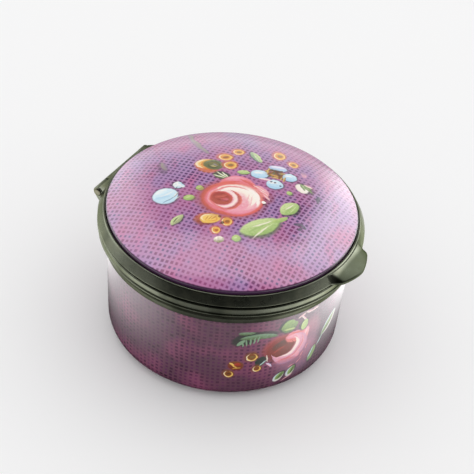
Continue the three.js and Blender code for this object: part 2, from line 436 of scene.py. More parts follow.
# Strokes use vector maths alone, because every change of socket type is worked out late and
# a long chain of strokes then runs out of room in the renderer
STROKE_INPUTS = {
    "Colour": "colour", "Place": "vector", "Grain": "value", "Centre": "vector",
    "Light": "colour", "Dark": "colour", "Cover": "value", "Softness": "value",
}
STROKE_OUTPUTS = {"Colour": "colour"}


def lay_paint(nodes, entry, exits, shape, shade):
    """Lays a stroke's colour over what is there: shape is 1 on its edge, shade runs 0 to 1."""
    inner = nodes.math("SUBTRACT", 1.0, entry["Softness"])
    outer = nodes.math("ADD", 1.0, entry["Softness"])
    mask = nodes.math("MULTIPLY", nodes.rise(shape, outer, inner), entry["Cover"])
    paint = nodes.mix(nodes.math("ADD", shade, entry["Grain"]), entry["Dark"], entry["Light"])
    nodes.feed(exits["Colour"], nodes.mix(mask, entry["Colour"], paint))


def brush_stroke_group():
    """One dab of a brush: an oval or pointed leaf shape that may bend."""
    inputs = {**STROKE_INPUTS, "Along": "vector", "Across": "vector", "Bend": "value",
              "Pointed": "value"}
    nodes, entry, exits = shader_group("Brush stroke", inputs, STROKE_OUTPUTS)
    local = nodes.vector("SUBTRACT", entry["Place"], entry["Centre"])
    along = nodes.vector("DOT_PRODUCT", local, entry["Along"])
    across = nodes.vector("DOT_PRODUCT", local, entry["Across"])
    along_square = nodes.math("MULTIPLY", along, along)
    across = nodes.math("MULTIPLY_ADD", entry["Bend"], along_square, across)
    oval = nodes.math("MULTIPLY", across, across)
    pointed = nodes.math("ABSOLUTE", across)
    shape = nodes.math("ADD", along_square, nodes.between(entry["Pointed"], oval, pointed))
    shade = nodes.math("MULTIPLY_ADD", across, 0.5, 0.5)
    lay_paint(nodes, entry, exits, shape, shade)
    return nodes.tree


def crescent_group():
    """One curved stroke on an oval, thickest in one direction and thinning to both ends."""
    inputs = {**STROKE_INPUTS, "Half size": "vector", "Towards": "vector",
              "Thickness": "value", "End": "value"}
    nodes, entry, exits = shader_group("Crescent", inputs, STROKE_OUTPUTS)
    local = nodes.vector("SUBTRACT", entry["Place"], entry["Centre"])
    local = nodes.vector("DIVIDE", local, entry["Half size"])
    distance = nodes.math("MAXIMUM", nodes.vector("LENGTH", local), 0.001)
    facing = nodes.math("DIVIDE", nodes.vector("DOT_PRODUCT", local, entry["Towards"]), distance)
    width = nodes.math("MULTIPLY", nodes.rise(facing, entry["End"], 1.0), entry["Thickness"])
    width = nodes.math("MAXIMUM", width, 0.0001)
    offset = nodes.math("DIVIDE", nodes.math("SUBTRACT", distance, 1.0), width)
    shade = nodes.math("MULTIPLY_ADD", offset, 0.5, 0.5)
    lay_paint(nodes, entry, exits, nodes.math("ABSOLUTE", offset), shade)
    return nodes.tree


def dot_group():
    """Painted dots at whole-number places, each a little different from the next."""
    inputs = {"Place": "vector", "Size": "value", "Seed": "value"}
    nodes, entry, exits = shader_group("Painted dots", inputs, {"Mask": "value", "Tone": "value"})
    x = nodes.vector("DOT_PRODUCT", entry["Place"], (1, 0, 0))
    y = nodes.vector("DOT_PRODUCT", entry["Place"], (0, 1, 0))
    column = nodes.math("ROUND", x)
    row = nodes.math("ROUND", y)
    random = nodes.add("ShaderNodeTexWhiteNoise", noise_dimensions="3D")
    nodes.feed(random.inputs["Vector"], nodes.join(column, row, entry["Seed"]))
    waves = []
    for part in (x, y):
        wave = nodes.math("COSINE", nodes.math("MULTIPLY", part, math.tau))
        waves.append(nodes.math("MULTIPLY_ADD", wave, 0.5, 0.5))
    hill = nodes.math("MINIMUM", *waves)
    jitter = nodes.math("MULTIPLY_ADD", random.outputs["Value"], 0.24, -0.12)
    edge = nodes.math("ADD", nodes.math("SUBTRACT", 1.0, entry["Size"]), jitter)
    outside = nodes.math("SUBTRACT", edge, 0.2)
    inside = nodes.math("ADD", edge, 0.16)
    nodes.feed(exits["Mask"], nodes.rise(hill, outside, inside))
    nodes.feed(exits["Tone"], random.outputs["Value"])
    return nodes.tree


def hand_wobble_group():
    """Moves places a little, as an unsteady brush does."""
    inputs = {"Place": "vector", "Scale": "value", "Amount": "value"}
    nodes, entry, exits = shader_group("Hand wobble", inputs, {"Place": "vector"})
    drift = nodes.noise(entry["Place"], entry["Scale"], 3.0)["Color"]
    drift = nodes.vector("SUBTRACT", drift, (0.5, 0.5, 0.5))
    drift = nodes.vector("SCALE", drift, scale=entry["Amount"])
    nodes.feed(exits["Place"], nodes.vector("ADD", entry["Place"], drift))
    return nodes.tree


def pigment_grain_group():
    """Light and dark grains of the paint, above and below nought."""
    nodes, entry, exits = shader_group("Pigment grain", {"Place": "vector"}, {"Grain": "value"})
    grain = nodes.noise(entry["Place"], 2.4, 3.0)["Fac"]
    nodes.feed(exits["Grain"], nodes.math("MULTIPLY_ADD", grain, 1.1, -0.55))
    return nodes.tree


def enamel_skin_group():
    """Faint orange-peel skin of fired enamel."""
    nodes, entry, exits = shader_group("Enamel skin", {"Place": "vector"}, {"Height": "value"})
    swell = nodes.noise(entry["Place"], 0.35, 2.0)["Fac"]
    grit = nodes.noise(entry["Place"], 3.2, 2.0)["Fac"]
    nodes.feed(exits["Height"], nodes.math("MULTIPLY_ADD", grit, 0.12, swell))
    return nodes.tree


def aged_metal_group():
    """Turned metal with uneven patina, dirt and rubbed places, and painted shade over the thumbpiece at
    the front.
    """
    inputs = {"Place": "vector", "Metal": "colour", "Dark": "colour", "Worn": "colour"}
    outputs = {"Colour": "colour", "Roughness": "value", "Height": "value"}
    nodes, entry, exits = shader_group("Aged metal", inputs, outputs)
    place = entry["Place"]
    patches = nodes.noise(place, 0.16, 3.0, 0.5)["Fac"]
    clouds = nodes.noise(place, 0.6, 2.0, 0.5)["Fac"]
    grit = nodes.noise(place, 5.0, 2.0, 0.6)["Fac"]
    x, y, z = nodes.split(place)
    radius = nodes.vector("LENGTH", nodes.join(x, y))
    turning = nodes.join(nodes.math("MULTIPLY", radius, 6.0), nodes.math("MULTIPLY", z, 6.0))
    lines = nodes.noise(turning, 1.0, 2.0)["Fac"]
    dirt = nodes.rise(nodes.math("MULTIPLY_ADD", grit, 0.2, patches), 0.5, 0.8, 0.0, 0.6)
    tone = nodes.mix(dirt, entry["Metal"], entry["Dark"])
    rubbed = nodes.rise(nodes.math("MULTIPLY_ADD", lines, 0.3, clouds), 0.6, 0.9, 0.0, 0.4)
    tone = nodes.mix(rubbed, tone, entry["Worn"])
    # Painted shade: the metal is darkened towards the box's front, on the thumbpiece and the rims beside
    # it.
    painted_front_shade = nodes.rise(nodes.math("MULTIPLY", y, -1.0), RIM_RADIUS - 0.9, RIM_RADIUS + 0.1, 0.0, 0.85)
    tone = nodes.mix(painted_front_shade, tone, entry["Dark"])
    nodes.feed(exits["Colour"], tone)
    rough = nodes.math("MULTIPLY_ADD", clouds, 0.16, 0.2)
    nodes.feed(exits["Roughness"], nodes.math("MULTIPLY_ADD", dirt, 0.1, rough))
    height = nodes.math("MULTIPLY_ADD", lines, 0.3, nodes.math("MULTIPLY", grit, 0.16))
    nodes.feed(exits["Height"], nodes.math("MULTIPLY_ADD", patches, 0.5, height))
    return nodes.tree


GROUP_MAKERS = {
    "Brush stroke": brush_stroke_group,
    "Crescent": crescent_group,
    "Painted dots": dot_group,
    "Hand wobble": hand_wobble_group,
    "Pigment grain": pigment_grain_group,
    "Enamel skin": enamel_skin_group,
    "Aged metal": aged_metal_group,
}


def group_named(name):
    """A shader node group of this file, built the first time it is asked for."""
    return bpy.data.node_groups.get(name) or GROUP_MAKERS[name]()


# The painter's colours, as they look on a screen

PAINTS = {
    "white": (252, 247, 240),
    "cream": (250, 238, 222),
    "shell": (248, 216, 216),
    "blush": (244, 178, 190),
    "pink": (232, 134, 156),
    "coral": (226, 112, 98),
    "rose": (212, 90, 84),
    "russet": (176, 84, 68),
    "cerise": (196, 90, 140),
    "mallow": (206, 142, 172),
    "brick": (188, 66, 48),
    "madder": (140, 42, 36),
    "rust": (112, 40, 14),
    "straw": (244, 208, 118),
    "yellow": (236, 186, 84),
    "orange": (214, 112, 44),
    "brown": (128, 74, 34),
    "umber": (62, 44, 30),
    "olive": (118, 112, 58),
    "moss": (84, 104, 62),
    "leaf": (152, 182, 104),
    "young_leaf": (192, 208, 128),
    "lime": (208, 222, 158),
    "sage": (128, 158, 128),
    "pine": (38, 52, 42),
    "slate": (74, 72, 86),
    "sky": (164, 204, 232),
    "frost": (192, 222, 238),
    "ice": (218, 238, 246),
    "lilac": (214, 208, 238),
    "dusk": (150, 116, 150),
    "plum": (92, 40, 84),
    "twig": (152, 150, 120),
}


class Painting:
    """Colour built up stroke by stroke. Places are in millimetres."""

    def __init__(self, nodes, place, grain, ground):
        self.nodes = nodes
        self.place = place
        self.grain = grain
        self.colour = ground
        self.origin = Vector((0, 0))

    def lay(self, group, x, y, light, dark, cover, soft, more):
        self.colour = self.nodes.group(group_named(group), {
            "Colour": self.colour,
            "Place": self.place,
            "Grain": self.grain,
            "Centre": (self.origin.x + x, self.origin.y + y, 0),
            "Light": linear(*PAINTS[light]),
            "Dark": linear(*PAINTS[dark or light]),
            "Cover": cover,
            "Softness": soft,
            **more,
        })["Colour"]

    def stroke(self, x, y, half_length, half_width, turn, light, dark=None, cover=1.0,
               soft=0.22, bend=0.0, pointed=0.0):
        """A dab, its light side to the left of the way it points."""
        cosine = math.cos(math.radians(turn))
        sine = math.sin(math.radians(turn))
        self.lay("Brush stroke", x, y, light, dark, cover, soft, {
            "Along": (cosine / half_length, sine / half_length, 0),
            "Across": (-sine / half_width, cosine / half_width, 0),
            "Bend": bend,
            "Pointed": pointed,
        })

    def crescent(self, x, y, radius, towards, light, dark=None, thick=0.3, half_angle=120,
                 cover=1.0, soft=0.25, flat=1.0):
        """A curved stroke round a centre, thickest in one direction, light on its outside."""
        angle = math.radians(towards)
        self.lay("Crescent", x, y, light, dark, cover, soft, {
            "Half size": (radius, radius * flat, 1),
            "Towards": (math.cos(angle), math.sin(angle), 0),
            "Thickness": thick,
            "End": math.cos(math.radians(half_angle)),
        })


# Motifs

def ring_flower(art, x, y, width, height, fill="yellow", shade="orange", heart="olive"):
    """Small yellow blossom: a soft shadow, a pale ring and a darker heart."""
    flat = height / width
    art.stroke(x - width * 0.1, y + height * 0.08, width * 1.16, height * 1.2, 0, shade,
               cover=0.62, soft=0.5)
    art.stroke(x, y, width * 0.9, height * 0.9, 0, fill, shade, 0.9, soft=0.3)
    art.crescent(x, y, width * 0.72, -55, "straw", "yellow", 0.2, 178, 0.95, 0.6, flat)
    art.crescent(x, y, width * 0.8, 200, "cream", "straw", 0.12, 100, 0.9, 0.6, flat)
    art.stroke(x + width * 0.05, y, width * 0.44, height * 0.32, 14, heart, "brown", 0.75, soft=0.6)
    art.crescent(x, y, width * 1.02, 20, shade, "rust", 0.07, 80, 0.6, 0.6, flat)


def green_leaf(art, x, y, long, wide, turn, light="lime", dark="leaf", shadow="slate",
               bend=0.0, streaks=3):
    """Leaf with a shadow below it, a paler upper half and light streaks along it."""
    lean = math.radians(turn)
    along = Vector((math.cos(lean), math.sin(lean)))
    down = Vector((along.y, -along.x))
    if down.y > 0:
        down = -down
    art.stroke(x + down.x * wide * 0.28, y + down.y * wide * 0.28, long * 1.05, wide * 1.1, turn,
               shadow, cover=0.8, soft=0.35, bend=bend, pointed=0.6)
    art.stroke(x, y, long, wide, turn, light, dark, soft=0.16, bend=bend, pointed=0.5)
    for number in range(streaks):
        side = (number - (streaks - 1) / 2) * wide * 0.3
        here = along * long * 0.16 * (number % 2 * 2 - 1) + down * side
        art.stroke(x + here.x, y + here.y, long * 0.5, wide * 0.09, turn + 7 * (number - 1),
                   ("lime", "cream", "leaf")[number % 3], cover=0.7, soft=0.6, bend=bend)


def leaf_dot(art, x, y, width, height):
    """Round touch of pale green."""
    art.stroke(x + 0.12, y - 0.12, width * 1.2, height * 1.2, 0, "moss", cover=0.65, soft=0.45)
    art.stroke(x, y, width, height, 20, "young_leaf", "leaf", soft=0.3)
    art.stroke(x - width * 0.2, y + height * 0.1, width * 0.5, height * 0.2, 30, "lime",
               cover=0.7, soft=0.6)


def blue_petal(art, x, y, long, wide, turn, light="ice"):
    """Blue petal with a soft grey edge and pale strokes."""
    art.stroke(x + 0.12, y - 0.1, long * 1.12, wide * 1.15, turn, "slate", cover=0.7, soft=0.3)
    art.stroke(x, y, long, wide, turn, light, "sky", soft=0.16)
    art.stroke(x - wide * 0.2, y + wide * 0.3, long * 0.5, wide * 0.22, turn + 8, "white",
               cover=0.7, soft=0.6)
    art.stroke(x + wide * 0.2, y - wide * 0.35, long * 0.6, wide * 0.16, turn - 6, "frost",
               cover=0.7, soft=0.6)


def lid_rose(art):
    """Full-blown rose: white and pink petals curled round a russet heart."""
    art.stroke(-0.4, -2.85, 6.4, 5.4, 0, "russet", cover=0.6, soft=0.35)
    art.stroke(5.9, -1.2, 1.9, 1.5, -60, "madder", cover=0.4, soft=0.5)
    art.stroke(0.7, 2.55, 3.3, 1.7, -6, "pink", "coral", bend=0.55, soft=0.16)
    art.stroke(0.0, 3.3, 1.9, 0.6, 8, "blush", "pink", 0.85, 0.4, bend=0.4)
    art.stroke(-1.2, 2.0, 2.2, 0.3, 18, "coral", "rose", 0.8, soft=0.5)
    art.stroke(2.7, 2.3, 2.2, 0.34, -34, "coral", "rose", 0.85, 0.4, bend=0.3)
    art.stroke(5.0, 0.3, 1.9, 1.1, -50, "blush", "coral", 0.95, soft=0.3)
    for x, y, long, turn, paint in (
        (4.6, 1.1, 1.5, -34, "cream"), (5.2, 0.4, 1.4, -38, "pink"), (5.5, -0.1, 1.2, -42, "cream"),
        (5.9, -0.7, 1.1, -48, "coral"), (6.1, -1.3, 0.9, -52, "shell"),
    ):
        art.stroke(x, y, long, 0.17, turn, paint, "blush", 0.85, soft=0.5)
    art.stroke(-0.15, -2.75, 5.7, 4.75, 0, "coral", "rose", soft=0.1)
    art.crescent(-0.15, -2.75, 5.15, 200, "russet", "coral", 0.14, 90, 0.75, 0.5, 0.85)
    art.crescent(0.0, -2.75, 4.75, 95, "coral", "pink", 0.1, 120, 0.8, 0.5, 0.86)
    art.stroke(0.45, -2.85, 4.75, 3.95, 0, "shell", "pink", soft=0.12)
    art.crescent(0.4, -2.8, 3.6, 42, "white", "cream", 0.34, 112, 0.95, 0.5, 0.9)
    art.crescent(0.5, -2.85, 3.7, -72, "pink", "blush", 0.24, 76, 0.8, 0.6, 0.92)
    art.crescent(0.4, -2.7, 4.35, 112, "cream", "blush", 0.09, 62, 0.95, 0.4, 0.88)
    art.crescent(0.2, -2.7, 4.05, 105, "coral", "rose", 0.05, 60, 0.7, 0.5, 0.88)
    art.crescent(-0.3, -2.7, 4.0, 200, "pink", "coral", 0.2, 70, 0.85, 0.5, 0.9)
    for x, y, long, turn in ((2.6, -2.6, 1.6, 78), (3.3, -3.0, 1.5, 84), (2.2, -4.6, 1.3, 40)):
        art.stroke(x, y, long, 0.14, turn, "blush", "pink", 0.55, 0.7, bend=-0.5)
    art.stroke(-2.2, -2.8, 2.1, 2.0, 0, "rose", "russet", soft=0.14)
    art.stroke(-2.3, -2.6, 1.6, 1.5, 0, "madder", "russet", 0.7, soft=0.4)
    art.stroke(-2.3, -2.2, 1.2, 0.4, 24, "russet", "coral", 0.6, soft=0.6)
    art.stroke(-1.6, -3.1, 0.7, 0.5, 30, "rose", "pink", 0.6, soft=0.6)
    art.stroke(-1.9, -3.4, 1.1, 0.22, -8, "madder", cover=0.6, soft=0.6)
    art.crescent(-1.9, -2.85, 2.3, -12, "cream", "shell", 0.13, 120, 0.95, 0.4)
    art.crescent(-1.6, -2.95, 2.85, -14, "coral", "russet", 0.13, 96, 0.95, 0.4)
    art.crescent(-1.7, -2.85, 2.75, 165, "blush", "coral", 0.1, 84, 0.8, 0.5)
    art.crescent(-0.1, -2.8, 5.35, -30, "rose", "coral", 0.06, 84, 0.75, 0.6, 0.86)
    art.stroke(5.6, -2.75, 0.36, 0.36, 0, "white")
    art.stroke(5.85, -3.3, 0.4, 0.22, 0, "umber", cover=0.7, soft=0.4)


def lid_yellow_flowers(art):
    """Small yellow blossoms above and below the rose."""
    art.stroke(-5.6, 6.3, 2.3, 1.7, -24, "orange", cover=0.8, soft=0.4)
    art.stroke(-5.5, 7.2, 2.3, 1.75, 0, "yellow", "orange", soft=0.2)
    art.crescent(-5.5, 7.2, 1.9, 175, "cream", "straw", 0.16, 90, 0.9, 0.5, 0.8)
    art.crescent(-5.4, 7.1, 1.4, 200, "straw", "orange", 0.14, 80, 0.9, 0.5, 0.8)
    art.stroke(-4.4, 7.2, 2.0, 1.6, -8, "olive", "moss", 0.95, soft=0.3)
    art.crescent(-4.4, 7.2, 1.45, 70, "sage", "umber", 0.2, 120, 0.7, 0.6, 0.85)
    art.crescent(-4.4, 7.0, 1.0, 250, "moss", "umber", 0.24, 110, 0.7, 0.6, 0.8)
    for x, y, turn, paint in (
        (-4.5, 7.0, 30, "twig"), (-4.0, 7.2, -30, "dusk"), (-4.3, 6.7, 0, "straw"),
    ):
        art.stroke(x, y, 0.55, 0.16, turn, paint, "twig", 0.9, soft=0.5)
    for x, y, width, height, heart in (
        (-2.3, 10.1, 1.45, 1.15, "rust"),
        (0.1, 12.4, 1.15, 1.1, "olive"),
        (-1.2, 7.5, 1.35, 1.25, "moss"),
        (-0.7, -9.1, 1.05, 1.15, "brown"),
        (-2.5, -11.5, 0.9, 0.85, "orange"),
        (7.9, 13.1, 1.2, 1.6, "olive"),
        (10.7, 10.7, 1.0, 1.1, "olive"),
    ):
        ring_flower(art, x, y, width, height, heart=heart)
    art.stroke(-4.4, -8.9, 2.3, 1.6, 12, "orange", "rust", 0.8, soft=0.4)
    art.stroke(-3.75, -8.65, 1.85, 1.25, 14, "straw", "yellow", soft=0.2)
    art.crescent(-3.75, -8.65, 1.45, 150, "cream", "straw", 0.14, 100, 0.9, 0.5, 0.66)
    art.crescent(-3.7, -8.7, 1.05, -20, "orange", "yellow", 0.16, 110, 0.7, 0.6, 0.6)
    for x, y, turn in ((-4.3, -8.6, 70), (-3.7, -8.5, 60), (-3.1, -8.4, 50)):
        art.stroke(x, y, 0.6, 0.09, turn, "orange", "brown", 0.7, soft=0.6)
    art.stroke(-2.1, -8.0, 0.35, 0.3, 0, "umber", cover=0.8, soft=0.4)
    art.stroke(-1.5, -9.5, 0.35, 0.35, 0, "umber", cover=0.8, soft=0.4)
    art.stroke(-1.75, -13.6, 0.95, 0.75, 10, "cream", "olive", soft=0.3)


def lid_leaves(art):
    """Leaves and green touches round the spray."""
    green_leaf(art, 3.5, 11.3, 2.1, 0.78, -57, "lime", "sage", streaks=2)
    green_leaf(art, 1.4, 5.65, 1.25, 0.62, 8, "lime", "leaf", "moss", streaks=1)
    green_leaf(art, 10.35, -3.5, 2.3, 1.4, 50, "lime", "leaf", "pine", streaks=4)
    green_leaf(art, 5.4, -9.5, 4.1, 1.85, 33, "lime", "leaf", "moss", bend=-0.2, streaks=5)
    art.stroke(8.9, -6.9, 1.7, 0.5, 36, "young_leaf", "leaf", 0.95, 0.25, pointed=0.6)
    green_leaf(art, -9.65, -9.4, 1.6, 0.72, 54, "lime", "twig", "pine", streaks=1)
    art.stroke(-9.9, -9.5, 0.7, 0.12, 60, "umber", "pine", 0.8, 0.5)
    art.stroke(-2.6, 4.0, 1.65, 1.25, -20, "pine", "moss", 0.9, soft=0.25)
    for x, y, long, turn in ((-3.1, 3.6, 1.1, -18), (-2.7, 4.2, 1.2, -38), (-2.0, 4.3, 0.9, -52)):
        art.stroke(x, y, long, 0.2, turn, "white", "young_leaf", 0.95, soft=0.4)
    art.stroke(13.1, 3.4, 1.9, 1.35, -40, "pine", cover=0.6, soft=0.35)
    art.stroke(12.5, 3.2, 1.4, 1.1, -50, "white", "cream", 0.95, soft=0.3)
    art.stroke(13.7, 4.3, 0.9, 0.3, -20, "blush", "cream", 0.9, soft=0.5)
    for x, y, long, turn in ((13.2, 4.0, 1.2, -30), (13.6, 3.2, 1.1, -38), (12.6, 3.6, 1.0, -60)):
        art.stroke(x, y, long, 0.24, turn, "leaf", "moss", 0.9, soft=0.4)
    art.stroke(12.7, 7.9, 0.55, 0.95, 10, "dusk", "blush", 0.75, soft=0.4)
    for x, y, width, height in (
        (-6.3, -0.4, 0.7, 0.75), (-8.05, -3.35, 1.0, 0.75), (10.2, 1.0, 0.55, 0.55),
        (1.25, -13.0, 0.75, 0.72),
    ):
        leaf_dot(art, x, y, width, height)


def lid_blue_flowers(art):
    """Two round buds on the left and an open blossom on the right."""
    art.stroke(-12.3, -3.2, 2.6, 2.55, 0, "slate", cover=0.55, soft=0.2)
    art.stroke(-12.4, -3.1, 2.3, 2.2, 20, "ice", "frost", soft=0.14)
    art.stroke(-13.4, -2.0, 1.3, 0.5, 38, "white", "ice", 0.8, soft=0.6)
    art.stroke(-12.9, -3.6, 1.5, 0.45, 20, "sky", "frost", 0.7, soft=0.6)
    art.stroke(-12.2, -2.5, 1.4, 0.3, 34, "frost", "white", 0.8, soft=0.6)
    art.stroke(-11.6, -4.2, 1.4, 0.16, 44, "slate", "sky", 0.7, soft=0.5)
    art.stroke(-10.5, -2.7, 0.9, 0.2, 64, "white", "slate", 0.85, soft=0.4)
    art.stroke(-10.1, -3.7, 0.7, 0.16, 50, "white", "slate", 0.8, soft=0.4)
    art.stroke(-10.35, 0.1, 1.25, 1.15, 0, "slate", cover=0.7, soft=0.3)
    for x, y, turn in ((-10.8, 0.35, 60), (-10.2, 0.5, 110), (-9.8, 0.1, 150), (-10.4, -0.3, 10)):
        art.stroke(x, y, 0.75, 0.5, turn, "white", "frost", 0.95, soft=0.3)
    art.stroke(-10.7, -0.9, 0.5, 0.12, 70, "slate", cover=0.7, soft=0.5)
    for x, y, long, wide, light in (
        (7.8, 8.3, 1.75, 0.95, "lilac"),
        (4.45, 5.6, 1.65, 1.3, "ice"),
        (10.05, 5.9, 1.35, 1.2, "ice"),
        (7.35, 2.95, 1.6, 1.4, "ice"),
    ):
        blue_petal(art, x, y, long, wide, 0, light)
    art.stroke(5.5, 4.1, 1.2, 0.28, -8, "white", "blush", 0.9, soft=0.4)
    art.stroke(7.9, 8.7, 1.3, 0.3, 0, "white", "lilac", 0.9, soft=0.5)
    art.stroke(7.2, 6.5, 1.8, 1.4, -10, "olive", "brown", 0.45, soft=0.7)
    for x, y, long, turn, paint in (
        (6.1, 7.2, 0.9, 20, "yellow"), (6.6, 6.3, 0.8, 60, "straw"), (7.0, 7.3, 0.8, -30, "umber"),
        (7.6, 6.9, 0.9, 10, "umber"), (8.3, 6.2, 0.9, 70, "umber"), (8.7, 6.7, 0.6, 20, "yellow"),
        (7.8, 5.9, 0.8, -20, "orange"), (7.1, 5.6, 0.7, 0, "straw"), (8.5, 5.3, 0.7, 80, "straw"),
        (6.4, 5.5, 0.6, 40, "umber"), (7.3, 6.4, 0.5, 0, "moss"),
    ):
        art.stroke(x, y, long, 0.26, turn, paint, "olive", 0.9, soft=0.5)
    for x, y, long, turn, paint in (
        (6.0, 7.1, 1.0, 80, "straw"), (7.0, 7.3, 1.1, 10, "umber"), (8.3, 5.6, 0.9, 60, "brown"),
        (6.9, 5.7, 1.1, -20, "yellow"), (7.7, 6.5, 0.9, -60, "umber"), (9.1, 5.0, 0.8, 70, "straw"),
        (6.4, 6.3, 0.8, 40, "brown"), (8.2, 7.3, 0.7, 30, "umber"), (7.3, 5.0, 0.7, 0, "straw"),
    ):
        art.stroke(x, y, long, 0.26, turn, paint, "brown", 0.9, soft=0.4)
    for x, y in ((6.7, 3.6), (7.4, 3.5), (8.4, 2.7)):
        art.stroke(x, y, 0.26, 0.2, 30, "slate", cover=0.9, soft=0.4)


def lid_marks(art):
    """Twig, faded leaf and the small dark touches near the edge."""
    for x, y, long, wide, turn in (
        (-9.5, 18.4, 2.4, 0.42, -78), (-8.4, 15.4, 2.5, 0.55, -63), (-6.9, 12.6, 2.2, 0.42, -52),
    ):
        art.stroke(x + 0.15, y - 0.2, long, wide * 1.3, turn, "slate", cover=0.45, soft=0.5)
        art.stroke(x, y, long, wide, turn, "twig", "dusk", 0.8, soft=0.4)
    art.stroke(-13.8, 5.6, 2.4, 0.95, -74, "slate", "plum", 0.55, soft=0.4, pointed=0.5)
    art.stroke(-13.6, 6.2, 1.5, 0.5, -70, "dusk", "twig", 0.75, soft=0.5)
    art.stroke(15.6, 1.0, 0.5, 1.0, -8, "slate", cover=0.85, soft=0.3, pointed=0.8)
    for x, y, long, turn in ((12.2, -7.2, 0.8, 15), (13.2, -7.5, 0.6, -50), (12.6, -8.2, 0.6, 60)):
        art.stroke(x, y, long, 0.34, turn, "slate", cover=0.8, soft=0.4)
    for x, y, turn in ((17.9, -11.2, 75), (18.6, -11.8, 60), (18.3, -12.6, 85), (19.0, -10.9, 50)):
        art.stroke(x, y, 0.5, 0.07, turn, "plum", cover=0.7, soft=0.5)


def body_rose(art):
    """Rose on the body's side, its dark heart open to the left."""
    art.stroke(2.6, 8.3, 4.6, 3.8, 0, "pink", "dusk", 0.5, soft=0.8)
    art.stroke(4.6, 13.0, 2.6, 4.2, 0, "pink", "dusk", 0.4, soft=0.8)
    art.stroke(-1.7, 12.5, 3.9, 3.4, 0, "brick", "rust", 0.7, soft=0.4)
    art.stroke(-1.9, 12.7, 2.9, 2.6, 20, "madder", "rust", soft=0.3)
    art.stroke(-2.0, 13.4, 1.8, 1.0, 24, "umber", "rust", 0.8, soft=0.6)
    art.stroke(-2.2, 12.2, 1.4, 0.3, 30, "brick", "rust", 0.7, soft=0.6)
    art.stroke(1.2, 14.5, 2.4, 1.5, -12, "pink", "coral", 0.95, soft=0.2)
    art.stroke(0.8, 14.6, 1.8, 0.55, -10, "blush", "pink", 0.9, soft=0.5)
    art.stroke(1.4, 15.4, 1.6, 0.2, -14, "coral", "rose", 0.8, soft=0.5)
    art.stroke(3.4, 13.6, 0.8, 2.1, -8, "blush", "coral", 0.9, soft=0.3)
    art.stroke(3.3, 13.8, 0.2, 1.6, -8, "shell", "blush", 0.8, soft=0.6)
    art.crescent(-0.6, 12.4, 3.3, -44, "mallow", "blush", 0.46, 122, soft=0.2, flat=0.95)
    art.crescent(-0.7, 12.5, 2.5, -30, "shell", "cream", 0.16, 92, 0.95, 0.4, 0.95)
    art.crescent(-0.5, 12.3, 3.0, -52, "pink", "mallow", 0.06, 90, 0.7, 0.5, 0.95)
    art.crescent(-0.5, 12.5, 3.55, -48, "blush", "rose", 0.08, 90, 0.8, 0.5, 0.95)
    art.crescent(-1.2, 12.5, 2.0, -30, "madder", "rust", 0.07, 80, 0.8, 0.5)
    art.stroke(-0.4, 8.6, 2.6, 0.75, -6, "rose", "dusk", 0.6, soft=0.5)
    art.stroke(2.2, 9.3, 0.5, 0.75, 10, "blush", "pink", 0.85, soft=0.4)
    for x, y, turn in ((3.4, 8.6, 60), (2.9, 7.2, 40), (4.4, 10.2, 70), (1.2, 6.6, 10)):
        art.stroke(x, y, 0.75, 0.16, turn, "blush", "rose", 0.7, soft=0.5)


